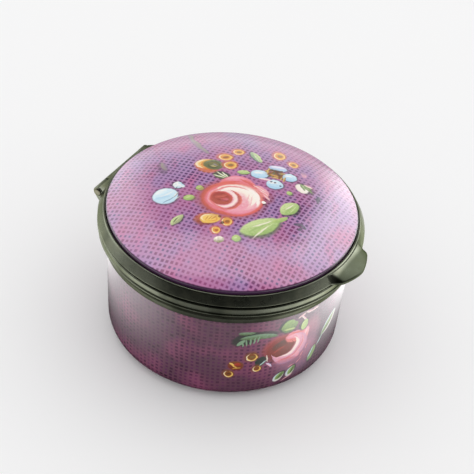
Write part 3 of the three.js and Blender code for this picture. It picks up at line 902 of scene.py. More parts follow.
def body_leaves(art):
    """Leaves of the body's spray, with one toothed leaf to the left."""
    art.stroke(-9.2, 16.4, 2.6, 1.5, 24, "pine", cover=0.85, soft=0.35)
    art.stroke(-5.8, 17.3, 3.2, 0.7, -6, "pine", cover=0.8, soft=0.4, bend=0.4)
    art.stroke(-9.0, 17.85, 1.5, 0.4, 2, "sage", "moss", 0.9, soft=0.35)
    art.stroke(-6.5, 16.8, 3.6, 0.62, -2, "sage", "moss", soft=0.2, bend=0.75, pointed=0.2)
    art.stroke(-9.9, 15.5, 1.0, 0.4, 40, "sage", cover=0.95, soft=0.3)
    for number in range(5):
        x = -9.6 + number * 0.72
        art.stroke(x, 15.25 + number * 0.2, 0.8, 0.16, 96 - number * 5, "sage", cover=0.95, soft=0.35)
    art.stroke(-1.2, 18.0, 2.0, 1.7, 10, "pine", cover=0.9, soft=0.25, pointed=0.8)
    art.stroke(-0.7, 17.8, 1.8, 1.6, 8, "leaf", "moss", soft=0.16, pointed=0.7)
    art.stroke(-0.6, 17.0, 1.2, 0.24, -10, "young_leaf", cover=0.8, soft=0.5)
    art.stroke(2.6, 16.75, 1.5, 1.05, 76, "pine", cover=0.8, soft=0.3)
    art.stroke(2.8, 16.7, 1.25, 0.75, 76, "young_leaf", "leaf", soft=0.2)
    art.stroke(-5.7, 10.1, 1.35, 0.95, 62, "pine", cover=0.95, soft=0.25)
    art.stroke(-5.2, 9.6, 0.9, 0.16, 40, "ice", "sage", 0.85, soft=0.4)
    art.stroke(-4.5, 10.6, 0.9, 0.14, 100, "cream", cover=0.7, soft=0.4)
    art.stroke(-3.9, 8.8, 0.85, 0.24, -42, "lilac", "blush", 0.95, soft=0.35)
    for x, y, turn in ((-1.2, 4.9, 42), (1.4, 5.3, 55)):
        art.stroke(x, y, 1.5, 1.0, turn, "pine", cover=0.75, soft=0.25)
        art.stroke(x - 0.25, y - 0.25, 1.3, 0.85, turn, "ice", "cream", 0.75, soft=0.25)
        art.stroke(x, y, 1.2, 0.62, turn, "leaf", "moss", soft=0.2, pointed=0.5)
        art.stroke(x + 0.1, y + 0.1, 0.8, 0.14, turn + 14, "pine", cover=0.8, soft=0.4)
    art.stroke(0.6, 3.7, 1.4, 0.16, 20, "blush", cover=0.6, soft=0.5)
    art.stroke(10.6, 12.0, 3.1, 1.7, 44, "pine", cover=0.45, soft=0.5, pointed=0.4)
    art.stroke(10.8, 12.2, 2.9, 1.35, 44, "ice", "cream", 0.9, soft=0.2, pointed=0.6)
    art.stroke(10.4, 12.0, 2.5, 0.75, 44, "leaf", "moss", soft=0.3, pointed=0.4)
    art.stroke(11.4, 12.9, 1.3, 0.24, 44, "lime", "leaf", 0.8, soft=0.5)
    art.stroke(8.3, 9.3, 1.2, 0.24, 56, "ice", "sage", 0.85, soft=0.4)
    art.stroke(6.4, 7.0, 2.2, 1.2, 66, "pine", cover=0.55, soft=0.4, pointed=0.4)
    art.stroke(6.3, 7.1, 1.9, 0.85, 66, "sage", "leaf", 0.9, soft=0.3, pointed=0.4)
    art.stroke(6.0, 7.5, 1.3, 0.16, 62, "ice", cover=0.8, soft=0.5)
    for x, y, long, turn in (
        (1.8, 19.4, 0.9, 20), (3.4, 19.7, 0.8, -12), (4.8, 19.6, 0.9, 8), (2.4, 18.6, 0.9, -50),
    ):
        art.stroke(x, y, long, 0.26, turn, "blush", "cream", 0.75, soft=0.4)


def body_yellow_flowers(art):
    """Yellow blossoms in a falling row to the left of the body's rose."""
    art.stroke(-10.4, 9.5, 1.5, 1.2, -10, "brown", "rust", 0.9, soft=0.3)
    ring_flower(art, -7.5, 11.5, 1.25, 1.15, "brown", "brown", "olive")
    ring_flower(art, -11.6, 7.3, 1.0, 0.95, "brown", "brown", "umber")
    ring_flower(art, -6.3, 8.3, 0.95, 0.85, "brown", "brown", "brown")
    art.stroke(-10.9, 9.6, 0.9, 0.2, -42, "straw", "yellow", 0.95, soft=0.35)
    art.stroke(-10.2, 8.8, 0.8, 0.16, 10, "yellow", "brown", 0.85, soft=0.35)
    art.stroke(-10.1, 9.7, 0.7, 0.5, 10, "brick", "rust", 0.9, soft=0.35)


def body_sprig(art):
    """Plain little sprig for the side that faces away."""
    green_leaf(art, -3.0, 12.5, 2.4, 0.9, 152, "sage", "moss", "pine")
    green_leaf(art, 3.2, 11.2, 2.2, 0.85, 24, "leaf", "moss", "pine")
    ring_flower(art, 0.0, 13.4, 1.2, 1.1, "brown", "brown", "olive")
    ring_flower(art, 1.0, 9.6, 0.95, 0.9, "brown", "brown", "brown")
    leaf_dot(art, -1.6, 9.2, 0.7, 0.6)


# Materials

def new_material(name, tint):
    """Empty node material: the material, its nodes and its main shader."""
    material = bpy.data.materials.new(name)
    material.use_nodes = True
    material.diffuse_color = tint
    tree = material.node_tree
    tree.nodes.clear()
    nodes = Nodes(tree)
    shader = nodes.add("ShaderNodeBsdfPrincipled")
    output = nodes.add("ShaderNodeOutputMaterial")
    tree.links.new(shader.outputs["BSDF"], output.inputs["Surface"])
    return material, nodes, shader


ENAMEL_IOR = 1.52
PAINTED_ROUGHNESS = 0.13
PLAIN_ROUGHNESS = 0.16


def bump(nodes, shader, height, distance):
    """Fine surface relief, with its depth in millimetres."""
    node = nodes.add("ShaderNodeBump")
    node.inputs["Strength"].default_value = 1.0
    node.inputs["Distance"].default_value = distance * MM
    nodes.feed(node.inputs["Height"], height)
    nodes.feed(shader.inputs["Normal"], node.outputs["Normal"])


def effect(nodes, name, **values):
    """One of the shared effects placed in a material, its inputs named in lower case."""
    inputs = {label.capitalize(): value for label, value in values.items()}
    return nodes.group(group_named(name), inputs)


def painting_on(nodes, place, grain_place, dots, ground):
    """Painting over a dotted ground: the brush wavers and catches on the dots below."""
    wavering = effect(nodes, "Hand wobble", place=place, scale=0.5, amount=0.5)["Place"]
    catch = nodes.vector("SCALE", nodes.join(dots, dots), scale=0.05)
    brush = nodes.vector("MULTIPLY", nodes.vector("ADD", wavering, catch), (1, 1, 0))
    grain = effect(nodes, "Pigment grain", place=grain_place)["Grain"]
    return Painting(nodes, brush, grain, ground)


def enamel_finish(nodes, shader, place):
    """Gloss of fired enamel: wet and clear, with a faint orange-peel skin."""
    shader.inputs["Roughness"].default_value = PAINTED_ROUGHNESS
    shader.inputs["IOR"].default_value = ENAMEL_IOR
    bump(nodes, shader, effect(nodes, "Enamel skin", place=place)["Height"], 0.06)


LID_LATTICE = (math.radians(73.0), math.radians(158.0))
PICTURE_TURN = math.radians(63.0)
BODY_SPRAY_AZIMUTH = math.radians(-118.4)
BODY_SPRIG_AWAY = 58.0  # along the body's girth, from its spray
BARE_FOOT = 0.35  # height below which the underside's plain enamel begins


def painted_lid(context):
    """Lid enamel: a dotted pink and lilac ground with the spray of flowers."""
    colours = context.scene.patch_box_colours
    size = Millimetres(context.scene.patch_box_sizes)
    material, nodes, shader = new_material("painted_lid_enamel", colours.lid_pink)
    solid = nodes.millimetres()
    picture = nodes.vector("MULTIPLY", nodes.turn(solid, PICTURE_TURN), (1, 1, 0))

    uneven = effect(nodes, "Hand wobble", place=picture, scale=0.16, amount=0.8)["Place"]
    lattice = []
    for angle in LID_LATTICE:
        step = Vector((math.cos(angle), math.sin(angle), 0)) / size.lid_dot_pitch
        lattice.append(nodes.vector("DOT_PRODUCT", uneven, step))
    patchy = nodes.noise(picture, 0.11, 2.0)["Fac"]
    dot_size = nodes.rise(patchy, 0.35, 0.65, 0.46, 0.62)
    dots = effect(nodes, "Painted dots", place=nodes.join(*lattice), size=dot_size, seed=3.0)
    broad = nodes.noise(picture, 0.085, 3.0, 0.6)["Fac"]
    streaky = nodes.noise(nodes.vector("MULTIPLY", picture, (1.0, 0.35, 1.0)), 0.3, 2.0)["Fac"]
    ground = nodes.mix(nodes.rise(broad, 0.4, 0.62), colours.lid_pink, colours.lid_lilac)
    ground = nodes.mix(nodes.rise(streaky, 0.5, 0.72, 0.0, 0.5), ground, linear(*PAINTS["cerise"]))
    strength = nodes.rise(patchy, 0.34, 0.66, 0.66, 1.0)
    mask = nodes.math("MULTIPLY", dots["Mask"], strength)
    ink = nodes.mix(nodes.rise(broad, 0.42, 0.6), colours.lid_dot_red, colours.lid_dot)
    ink = nodes.mix(nodes.rise(dots["Tone"], 0.68, 1.0), ink, colours.lid_dot_blue)
    ground = nodes.mix(mask, ground, ink)

    art = painting_on(nodes, picture, picture, mask, ground)
    lid_marks(art)
    lid_leaves(art)
    lid_yellow_flowers(art)
    lid_blue_flowers(art)
    lid_rose(art)
    edge = nodes.rise(nodes.vector("LENGTH", picture), LID_RADIUS - 0.3, LID_RADIUS - 0.04)
    nodes.feed(shader.inputs["Base Color"], nodes.mix(edge, art.colour, colours.lid_edge))
    enamel_finish(nodes, shader, solid)
    return material


def painted_body(context):
    """Body enamel: a dotted ground, darker partly as painted shade, with a spray on one side, plain
    underneath.
    """
    colours = context.scene.patch_box_colours
    size = Millimetres(context.scene.patch_box_sizes)
    material, nodes, shader = new_material("painted_body_enamel", colours.body_mauve)
    solid = nodes.millimetres()
    turned_place = nodes.turn(solid, -BODY_SPRAY_AZIMUTH)
    x, y, height = nodes.split(turned_place)
    angle = nodes.math("ARCTAN2", y, x)
    girth = nodes.math("MULTIPLY", angle, BODY_RADIUS)
    flat = nodes.join(girth, height)

    column = nodes.math("MULTIPLY", angle, size.body_dot_columns / math.tau)
    row = nodes.math("DIVIDE", height, size.body_dot_rows)
    drift = nodes.noise(solid, 0.16, 2.0)["Color"]
    lattice = nodes.vector("ADD", nodes.join(column, row), nodes.vector("SCALE", drift, scale=0.9))
    dots = effect(nodes, "Painted dots", place=lattice, size=0.52, seed=8.0)
    broad = nodes.rise(nodes.noise(solid, 0.09, 3.0, 0.6)["Fac"], 0.45, 0.7, 0.0, 0.25)
    # The mauve ground and its dots carry painted shade as well as the body's own colour.
    ground = nodes.mix(broad, colours.body_mauve, linear(*PAINTS["cerise"]))
    strength = nodes.rise(nodes.noise(solid, 0.13, 2.0)["Fac"], 0.3, 0.7, 0.55, 1.0)
    ink = nodes.mix(dots["Tone"], colours.body_dot, linear(*PAINTS["plum"]))
    mask = nodes.math("MULTIPLY", dots["Mask"], strength)
    ground = nodes.mix(mask, ground, ink)

    art = painting_on(nodes, flat, solid, mask, ground)
    body_rose(art)
    body_leaves(art)
    body_yellow_flowers(art)
    art.origin = Vector((BODY_SPRIG_AWAY, 0))
    body_sprig(art)
    plain = nodes.rise(height, BARE_FOOT, 0.1)
    nodes.feed(shader.inputs["Base Color"], nodes.mix(plain, art.colour, colours.white_enamel))
    enamel_finish(nodes, shader, solid)
    return material


def white_enamel(context):
    """Plain white enamel with faint clouds and a few specks."""
    colours = context.scene.patch_box_colours
    material, nodes, shader = new_material("white_enamel", colours.white_enamel)
    solid = nodes.millimetres()
    clouds = nodes.noise(solid, 0.12, 3.0)["Fac"]
    cloudy = nodes.rise(clouds, 0.35, 0.7, 0.0, 0.3)
    tone = nodes.mix(cloudy, colours.white_enamel, linear(206, 204, 202))
    specks = nodes.rise(nodes.noise(solid, 1.9, 1.0)["Fac"], 0.76, 0.8, 0.0, 0.7)
    tone = nodes.mix(specks, tone, linear(*PAINTS["brown"]))
    nodes.feed(shader.inputs["Base Color"], tone)
    shader.inputs["Roughness"].default_value = PLAIN_ROUGHNESS
    shader.inputs["IOR"].default_value = ENAMEL_IOR
    bump(nodes, shader, nodes.noise(solid, 0.5, 2.0)["Fac"], 0.05)
    return material


def aged_metal(context, name, metal):
    """Old gilt copper, dark with patina and rubbed on its high places, with painted shade at the front
    by the thumbpiece.
    """
    colours = context.scene.patch_box_colours
    material, nodes, shader = new_material(name, metal)
    patina = effect(nodes, "Aged metal", place=nodes.millimetres(), metal=metal,
                    dark=colours.metal_dark, worn=colours.metal_worn)
    nodes.feed(shader.inputs["Base Color"], patina["Colour"])
    nodes.feed(shader.inputs["Roughness"], patina["Roughness"])
    shader.inputs["Metallic"].default_value = 1.0
    shader.inputs["Specular Tint"].default_value = (0.4, 0.41, 0.37, 1.0)
    bump(nodes, shader, patina["Height"], 0.03)
    return material


def material_named(context, name):
    """One of the box's materials, made the first time it is asked for."""
    colours = context.scene.patch_box_colours
    makers = {
        "painted_lid_enamel": lambda: painted_lid(context),
        "painted_body_enamel": lambda: painted_body(context),
        "white_enamel": lambda: white_enamel(context),
        "aged_mount_metal": lambda: aged_metal(context, "aged_mount_metal", colours.metal),
        "dull_pin_wire": lambda: aged_metal(context, "dull_pin_wire", colours.pin),
    }
    return bpy.data.materials.get(name) or makers[name]()


def paint_rows(piece, outside, inside, first_row, last_row=math.inf):
    """Gives a turned shell one material outside and another on the rows inside."""
    piece.data.materials.append(outside)
    piece.data.materials.append(inside)
    for face in piece.data.polygons:
        face.material_index = int(first_row <= face.index // SIDES < last_row)


# Hinge parts

def knuckle_tree():
    """Row of hollow knuckles along the hinge, as a geometry node tree."""
    tree = bpy.data.node_groups.new("Knuckle row", "GeometryNodeTree")
    for label, kind in (
        ("Count", "NodeSocketInt"), ("Pitch", "NodeSocketFloat"), ("Length", "NodeSocketFloat"),
        ("Radius", "NodeSocketFloat"), ("Hole radius", "NodeSocketFloat"),
        ("Edge rounding", "NodeSocketFloat"), ("Hinge place", "NodeSocketVector"),
        ("Material", "NodeSocketMaterial"),
    ):
        tree.interface.new_socket(name=label, in_out="INPUT", socket_type=kind)
    tree.interface.new_socket(name="Geometry", in_out="OUTPUT", socket_type="NodeSocketGeometry")
    nodes = Nodes(tree)
    entry = nodes.add("NodeGroupInput").outputs
    exit_sockets = nodes.add("NodeGroupOutput").inputs

    circle = nodes.add("GeometryNodeCurvePrimitiveCircle")
    circle.inputs["Resolution"].default_value = HINGE_SIDES
    both_radii = nodes.math("ADD", entry["Radius"], entry["Hole radius"])
    nodes.feed(circle.inputs["Radius"], nodes.math("MULTIPLY", both_radii, 0.5))
    section = nodes.add("GeometryNodeCurvePrimitiveQuadrilateral")
    wall = nodes.math("SUBTRACT", entry["Radius"], entry["Hole radius"])
    nodes.feed(section.inputs["Width"], wall)
    nodes.feed(section.inputs["Height"], entry["Length"])
    fillet = nodes.add("GeometryNodeFilletCurve", mode="POLY")
    nodes.feed(fillet.inputs["Curve"], section.outputs["Curve"])
    nodes.feed(fillet.inputs["Radius"], entry["Edge rounding"])
    fillet.inputs["Count"].default_value = 3
    ring = nodes.add("GeometryNodeCurveToMesh")
    nodes.feed(ring.inputs["Curve"], circle.outputs["Curve"])
    nodes.feed(ring.inputs["Profile Curve"], fillet.outputs["Curve"])
    along_x = nodes.add("GeometryNodeTransform")
    nodes.feed(along_x.inputs["Geometry"], ring.outputs["Mesh"])
    along_x.inputs["Rotation"].default_value = (0.0, math.radians(90), 0.0)

    spaces = nodes.math("SUBTRACT", entry["Count"], 1.0)
    half_row = nodes.math("MULTIPLY", nodes.math("MULTIPLY", spaces, entry["Pitch"]), -0.5)
    row = nodes.add("GeometryNodeMeshLine", mode="OFFSET")
    nodes.feed(row.inputs["Count"], entry["Count"])
    start = nodes.vector("ADD", nodes.join(half_row, 0.0), entry["Hinge place"])
    nodes.feed(row.inputs["Start Location"], start)
    nodes.feed(row.inputs["Offset"], nodes.join(entry["Pitch"], 0.0))
    copies = nodes.add("GeometryNodeInstanceOnPoints")
    nodes.feed(copies.inputs["Points"], row.outputs["Mesh"])
    nodes.feed(copies.inputs["Instance"], along_x.outputs["Geometry"])
    whole = nodes.add("GeometryNodeRealizeInstances")
    nodes.feed(whole.inputs["Geometry"], copies.outputs["Instances"])
    finished = nodes.add("GeometryNodeSetMaterial")
    nodes.feed(finished.inputs["Geometry"], whole.outputs["Geometry"])
    nodes.feed(finished.inputs["Material"], entry["Material"])
    nodes.feed(exit_sockets["Geometry"], finished.outputs["Geometry"])
    return tree


def knuckle_row(name, count, size, material):
    """Plain mesh of one mount's knuckles."""
    tree = bpy.data.node_groups.get("Knuckle row") or knuckle_tree()
    piece = mesh_object(name, [(0, 0, 0)], [])
    row = piece.modifiers.new("knuckles", "NODES")
    row.node_group = tree
    values = {
        "Count": count,
        "Pitch": 2 * size.hinge_pitch * MM,
        "Length": (size.hinge_pitch - size.hinge_gap) * MM,
        "Radius": KNUCKLE_RADIUS * MM,
        "Hole radius": (PIN_RADIUS + size.hinge_gap) * MM,
        "Edge rounding": KNUCKLE_ROUNDING * MM,
        "Hinge place": (0.0, HINGE_Y * MM, RIM_HEIGHT * MM),
        "Material": material,
    }
    for item in tree.interface.items_tree:
        if item.in_out == "INPUT":
            row[item.identifier] = values[item.name]
    apply_modifiers(piece)
    return piece


def touch_degrees(y, z, side):
    """Direction round the pin where a line from a point touches the knuckles."""
    distance = math.hypot(y - HINGE_Y, z - RIM_HEIGHT)
    direction = math.atan2(z - RIM_HEIGHT, y - HINGE_Y)
    return math.degrees(direction + side * math.acos(KNUCKLE_RADIUS / distance))


def edge_at_hinge_end(radius):
    """Place along Y of a circle round the box at the hinge's ends."""
    return math.sqrt(radius ** 2 - (HINGE_LENGTH / 2) ** 2)


def softened(outline, inset):
    """Outline drawn in towards its middle."""
    middle = sum((Vector(point) for point in outline), Vector((0, 0))) / len(outline)
    return [tuple(Vector(point) + (middle - Vector(point)).normalized() * inset) for point in outline]


def bar(name, outline_at, half_length, rounding, steps=1):
    """YZ outline, which may change along X, carried along X with softened ends."""
    ends = []
    for degrees in (0, 30, 60, 90):
        angle = math.radians(degrees)
        ends.append((half_length - rounding * (1 - math.sin(angle)), rounding * (1 - math.cos(angle))))
    straight = half_length - rounding
    middle = [(straight * (2 * step / steps - 1), 0.0) for step in range(1, steps)]
    places = [(-x, inset) for x, inset in reversed(ends)] + middle + ends
    return lofted(name, [
        [(x, y, z) for y, z in softened(outline_at(x), inset)] for x, inset in places
    ])


def knuckle_spaces(size, first):
    """Spans along X that a mount leaves free for the other mount's knuckles."""
    spans = []
    for number in range(first, size.knuckles, 2):
        start = -HINGE_LENGTH / 2 + number * size.hinge_pitch
        end = start + size.hinge_pitch - size.hinge_gap
        before = size.fit_gap if number == 0 else size.hinge_gap
        after = size.fit_gap if number == size.knuckles - 1 else size.hinge_gap
        spans.append((start - before, end + after))
    return spans


def cut_for_hinge(piece, size, first):
    """Cuts the knuckles' seat and the other mount's knuckle spaces out of a mount."""
    seat = (KNUCKLE_RADIUS + PIN_RADIUS + size.hinge_gap) / 2
    half = HINGE_LENGTH / 2 + size.fit_gap
    cut_or_join(piece, rod("knuckle_seat", seat, -half, half), "DIFFERENCE")
    for start, end in knuckle_spaces(size, first):
        cut_or_join(piece, rod("knuckle_space", size.pocket_radius, start, end), "DIFFERENCE")


# The pieces. Their small roundings and gaps are in millimetres.

METAL_ROUNDING = 0.12
KNUCKLE_ROUNDING = 0.1
SEAM_SHIFT = 0.03  # keeps two surfaces that meet from lying in one plane
LEAF_END = 0.3
THUMB_BLEND = 1.3  # over which the thumbpiece's ends run back into the rim
LIP_GAP = 0.07
PIN_HEAD = 0.3  # how far the pin's heads stand out
PIN_HEAD_SHARE = 0.86  # of the knuckles' radius


def body_profile(size):
    """Body's section: underside, foot, wall, top edge and back down inside."""
    foot_radius = BODY_RADIUS - size.body_taper
    inner_foot = foot_radius - size.body_wall
    inner_round = max(size.foot_round - size.body_wall, size.body_wall)
    inside_wall = BODY_RADIUS - size.body_wall
    edge = size.enamel_edge
    outside = [(0, 0), (foot_radius * 0.4, 0)]
    outside += arc(foot_radius - size.foot_round, size.foot_round, size.foot_round, -90, 0, 12)
    outside += [(foot_radius + size.body_taper * share, size.foot_round
                 + (BAND_BOTTOM - size.foot_round) * share) for share in (0.25, 0.5, 0.75, 1.0)]
    outside += arc(BODY_RADIUS - edge, BODY_TOP - edge, edge, 0, 90, 4)
    inside = [(inside_wall, BODY_TOP), (inside_wall, BAND_BOTTOM)]
    inside += arc(inner_foot - inner_round, size.body_floor + inner_round, inner_round, 0, -90, 8)
    inside += [(inner_foot * 0.4, size.body_floor), (0, size.body_floor)]
    return outside, inside


def lid_profile(size):
    """Lid enamel's section: from the middle of the inside out, and back over the crown."""
    rise = LID_CROWN - BEZEL_TOP - size.enamel_stand
    inner_radius = LID_RADIUS - size.lid_wall
    inner_rise = rise * (inner_radius / LID_RADIUS) ** (size.lid_shoulder - 1)
    edge = size.enamel_edge
    edge_radius = LID_RADIUS - edge

    def outer_height(radius):
        return LID_CROWN - rise * (radius / LID_RADIUS) ** size.lid_shoulder

    def inner_height(radius):
        return LID_CROWN - size.lid_wall - inner_rise * (radius / inner_radius) ** size.lid_shoulder

    steps = 28
    shares = [math.sin(math.radians(90 * step / steps)) for step in range(steps + 1)]
    inside = [(inner_radius * share, inner_height(inner_radius * share)) for share in shares]
    inside.append((inner_radius, LID_BOTTOM))
    outside = [(LID_RADIUS, LID_BOTTOM)]
    crown = [(edge_radius * share, outer_height(edge_radius * share)) for share in reversed(shares)]
    start = Vector((LID_RADIUS, crown[0][1] - edge))
    corner = Vector((LID_RADIUS, crown[0][1] - edge * 0.3))
    end = Vector(crown[0])
    for step in range(5):
        share = step / 5
        outside.append(tuple(start.lerp(corner, share).lerp(corner.lerp(end, share), share)))
    return inside, outside + crown


def base_mount_profile(size):
    """Section of the mount on the body: banded outside, channel, skirt and guiding lip."""
    chamfer = size.band_sheet / 2
    band_foot = BODY_RADIUS + size.fit_gap + size.band_sheet
    collar_bottom = size.base_top - size.collar_height
    bead_top = collar_bottom - size.groove_height
    bead_bottom = bead_top - size.bead_height
    groove = RIM_RADIUS - size.groove_depth
    bead = RIM_RADIUS - size.groove_depth / 3
    channel = BODY_RADIUS + size.fit_gap
    channel_top = BODY_TOP + size.fit_gap
    mouth = min(size.lip_radius, size.skirt_radius) - size.skirt_sheet
    lip_top = RIM_HEIGHT + size.lip_height
    skirt_bottom = channel_top - size.skirt_depth
    return rounded([
        (channel, BAND_BOTTOM),
        (band_foot, BAND_BOTTOM),
        ((band_foot + groove) / 2 - size.band_sheet / 3, (BAND_BOTTOM + bead_bottom) / 2),
        (groove, bead_bottom),
        (bead, bead_bottom + size.bead_height / 3),
        (bead, bead_top - size.bead_height / 4),
        (groove, bead_top),
        (groove, collar_bottom),
        (RIM_RADIUS, collar_bottom + size.groove_height / 2),
        (RIM_RADIUS, size.base_top - chamfer),
        (RIM_RADIUS - chamfer, size.base_top),
        (size.lip_radius, size.base_top),
        (size.lip_radius, lip_top),
        (mouth, lip_top),
        (mouth, skirt_bottom),
        (size.skirt_radius, skirt_bottom),
        (size.skirt_radius, channel_top),
        (channel, channel_top),
    ], METAL_ROUNDING)


def lid_mount_profile(size):
    """Section of the mount on the lid: ledge, sloping bezel and its top edge."""
    chamfer = size.bezel_lip / 2
    ledge_radius = size.lip_radius + size.lip_clearance
    ledge_top = LID_BOTTOM - size.fit_gap
    bezel_edge = RIM_RADIUS - size.bezel_lean
    bezel_inside = LID_RADIUS + size.fit_gap
    return rounded([
        (ledge_radius, size.lid_base),
        (RIM_RADIUS - chamfer, size.lid_base),
        (RIM_RADIUS, size.lid_base + chamfer),
        (bezel_edge, BEZEL_TOP - chamfer),
        (bezel_edge - chamfer, BEZEL_TOP),
        (LID_RADIUS + LIP_GAP, BEZEL_TOP - chamfer / 2),
        (LID_RADIUS + LIP_GAP, BEZEL_TOP - size.bezel_lip * 2),
        (bezel_inside, BEZEL_TOP - size.bezel_lip * 3),
        (bezel_inside, ledge_top),
        (ledge_radius, ledge_top),
    ], METAL_ROUNDING)


def base_leaf(size):
    """Hinge leaf below the knuckles, on the outside of the base mount."""
    channel = BODY_RADIUS + size.fit_gap
    foot_z = BAND_BOTTOM + size.leaf_foot
    foot_y = edge_at_hinge_end(channel + size.band_sheet) + size.band_sheet / 2
    inner_y = edge_at_hinge_end(channel) - size.band_sheet
    top_z = size.base_top - SEAM_SHIFT
    barrel = arc(HINGE_Y, RIM_HEIGHT, KNUCKLE_RADIUS, touch_degrees(foot_y, foot_z, 1), 0, 6)
    outline = [(inner_y, foot_z), (foot_y, foot_z), *barrel, (HINGE_Y, top_z), (inner_y, top_z)]
    piece = bar("base_leaf", lambda x: outline, HINGE_LENGTH / 2, METAL_ROUNDING)
    room = round_room("body_room", channel, BAND_BOTTOM - 1, BODY_TOP + size.fit_gap / 2)
    cut_or_join(piece, room, "DIFFERENCE")
    return piece


def lid_leaf(size):
    """Hinge leaf that carries the bezel's slope out to the knuckles."""
    crest_y = edge_at_hinge_end(RIM_RADIUS - size.bezel_lean)
    crest_z = BEZEL_TOP - size.bezel_lip / 2
    inner_y = edge_at_hinge_end(LID_RADIUS + size.fit_gap)
    low_z = size.lid_base + SEAM_SHIFT
    barrel = arc(HINGE_Y, RIM_HEIGHT, KNUCKLE_RADIUS, 0, touch_degrees(crest_y, crest_z, -1), 6)
    outline = [(inner_y, low_z), (HINGE_Y, low_z), *barrel, (crest_y, crest_z), (inner_y, crest_z)]
    piece = bar("lid_leaf", lambda x: outline, HINGE_LENGTH / 2, LEAF_END)
    room_radius = LID_RADIUS + size.fit_gap + SEAM_SHIFT
    room = round_room("enamel_room", room_radius, size.lid_base - 1, BEZEL_TOP + 1)
    cut_or_join(piece, room, "DIFFERENCE")
    return piece


def thumbpiece(size):
    """Flat lip that slopes from the bezel's top edge to a blunt pointed front."""
    half = size.thumb_width / 2
    shoulder = math.sqrt(RIM_RADIUS ** 2 - half ** 2) + size.thumb_shoulder
    underside = size.lid_base + SEAM_SHIFT * 3
    back_radius = RIM_RADIUS - size.bezel_lean
    top = BEZEL_TOP - SEAM_SHIFT * 2

    def outline(x):
        share = min(abs(x) / half, 1.0)
        front = shoulder + (THUMB_TIP - shoulder) * (1 - share ** size.thumb_fullness)
        back = math.sqrt(back_radius ** 2 - x ** 2)
        rim = math.sqrt(RIM_RADIUS ** 2 - x ** 2)
        fade = ease(abs(x), half - THUMB_BLEND, half)
        front += (rim + SEAM_SHIFT * 3 - front) * fade
        edge = size.thumb_edge * (1 - 0.6 * fade)
        corners = [(-front, underside), (-back, underside), (-back, top), (-front, underside + edge)]
        return rounded(corners, edge * 0.4)

    return bar("thumbpiece", outline, half, METAL_ROUNDING * 2, steps=28)


# Operators, one for each piece or group of like pieces

class PATCHBOX_OT_body(Operator):
    """Makes the painted enamel body"""

    bl_idname = "patch_box.body"
    bl_label = "Enamel body"

    def execute(self, context):
        size = Millimetres(context.scene.patch_box_sizes)
        outside, inside = body_profile(size)
        piece = turned("body_enamel", outside + inside)
        painted = material_named(context, "painted_body_enamel")
        paint_rows(piece, painted, material_named(context, "white_enamel"), len(outside))
        finish_piece(piece, "base", "body")
        return {"FINISHED"}


class PATCHBOX_OT_lid(Operator):
    """Makes the painted enamel of the lid"""

    bl_idname = "patch_box.lid"
    bl_label = "Enamel lid"

    def execute(self, context):
        size = Millimetres(context.scene.patch_box_sizes)
        inside, outside = lid_profile(size)
        piece = turned("lid_enamel", inside + outside)
        painted = material_named(context, "painted_lid_enamel")
        paint_rows(piece, painted, material_named(context, "white_enamel"), 0, len(inside))
        finish_piece(piece, "lid", "lid_dome")
        return {"FINISHED"}


class PATCHBOX_OT_base_mount(Operator):
    """Makes the banded metal mount on the body, with its hinge leaf"""

    bl_idname = "patch_box.base_mount"
    bl_label = "Base mount"

    def execute(self, context):
        size = Millimetres(context.scene.patch_box_sizes)
        piece = turned("base_mount_band", base_mount_profile(size))
        cut_or_join(piece, base_leaf(size), "UNION")
        cut_for_hinge(piece, size, 1)
        piece.data.materials.clear()
        piece.data.materials.append(material_named(context, "aged_mount_metal"))
        finish_piece(piece, "base", "base_mount")
        return {"FINISHED"}


class PATCHBOX_OT_lid_mount(Operator):
    """Makes the sloping metal bezel on the lid, with its hinge leaf and thumbpiece"""

    bl_idname = "patch_box.lid_mount"
    bl_label = "Lid mount"

    def execute(self, context):
        size = Millimetres(context.scene.patch_box_sizes)
        piece = turned("lid_mount_bezel", lid_mount_profile(size))
        cut_or_join(piece, lid_leaf(size), "UNION")
        cut_or_join(piece, thumbpiece(size), "UNION")
        cut_for_hinge(piece, size, 0)
        piece.data.materials.clear()
        piece.data.materials.append(material_named(context, "aged_mount_metal"))
        finish_piece(piece, "lid", "lid_mount")
        return {"FINISHED"}


class PATCHBOX_OT_knuckles(Operator):
    """Makes the hinge's knuckles on both mounts"""

    bl_idname = "patch_box.knuckles"
    bl_label = "Hinge knuckles"

    def execute(self, context):
        size = Millimetres(context.scene.patch_box_sizes)
        metal = material_named(context, "aged_mount_metal")
        for name, body, node, count in (
            ("base_knuckles", "base", "base_mount", (size.knuckles + 1) // 2),
            ("lid_knuckles", "lid", "lid_mount", size.knuckles // 2),
        ):
            finish_piece(knuckle_row(name, count, size, metal), body, node)
        return {"FINISHED"}


class PATCHBOX_OT_pin(Operator):
    """Makes the hinge pin, its ends hammered into flat domed heads"""

    bl_idname = "patch_box.pin"
    bl_label = "Hinge pin"

    def execute(self, context):
        end = HINGE_LENGTH / 2
        head = [
            (end + SEAM_SHIFT + PIN_HEAD * math.sin(angle),
             KNUCKLE_RADIUS * PIN_HEAD_SHARE * math.cos(angle))
            for angle in (math.radians(degrees) for degrees in (75, 55, 35, 15, 0))
        ]
        wire = [(end + SEAM_SHIFT / 2, PIN_RADIUS), (-end - SEAM_SHIFT / 2, PIN_RADIUS)]
        sections = head + wire + [(-x, radius) for x, radius in reversed(head)]
        rings = [hinge_ring(x, radius, PIN_SIDES) for x, radius in reversed(sections)]
        piece = lofted("hinge_pin_wire", rings)
        piece.data.materials.append(material_named(context, "dull_pin_wire"))
        finish_piece(piece, "base", "hinge_pin")
        return {"FINISHED"}


# Studio. Places here are in millimetres, turned with the camera about the box's axis.

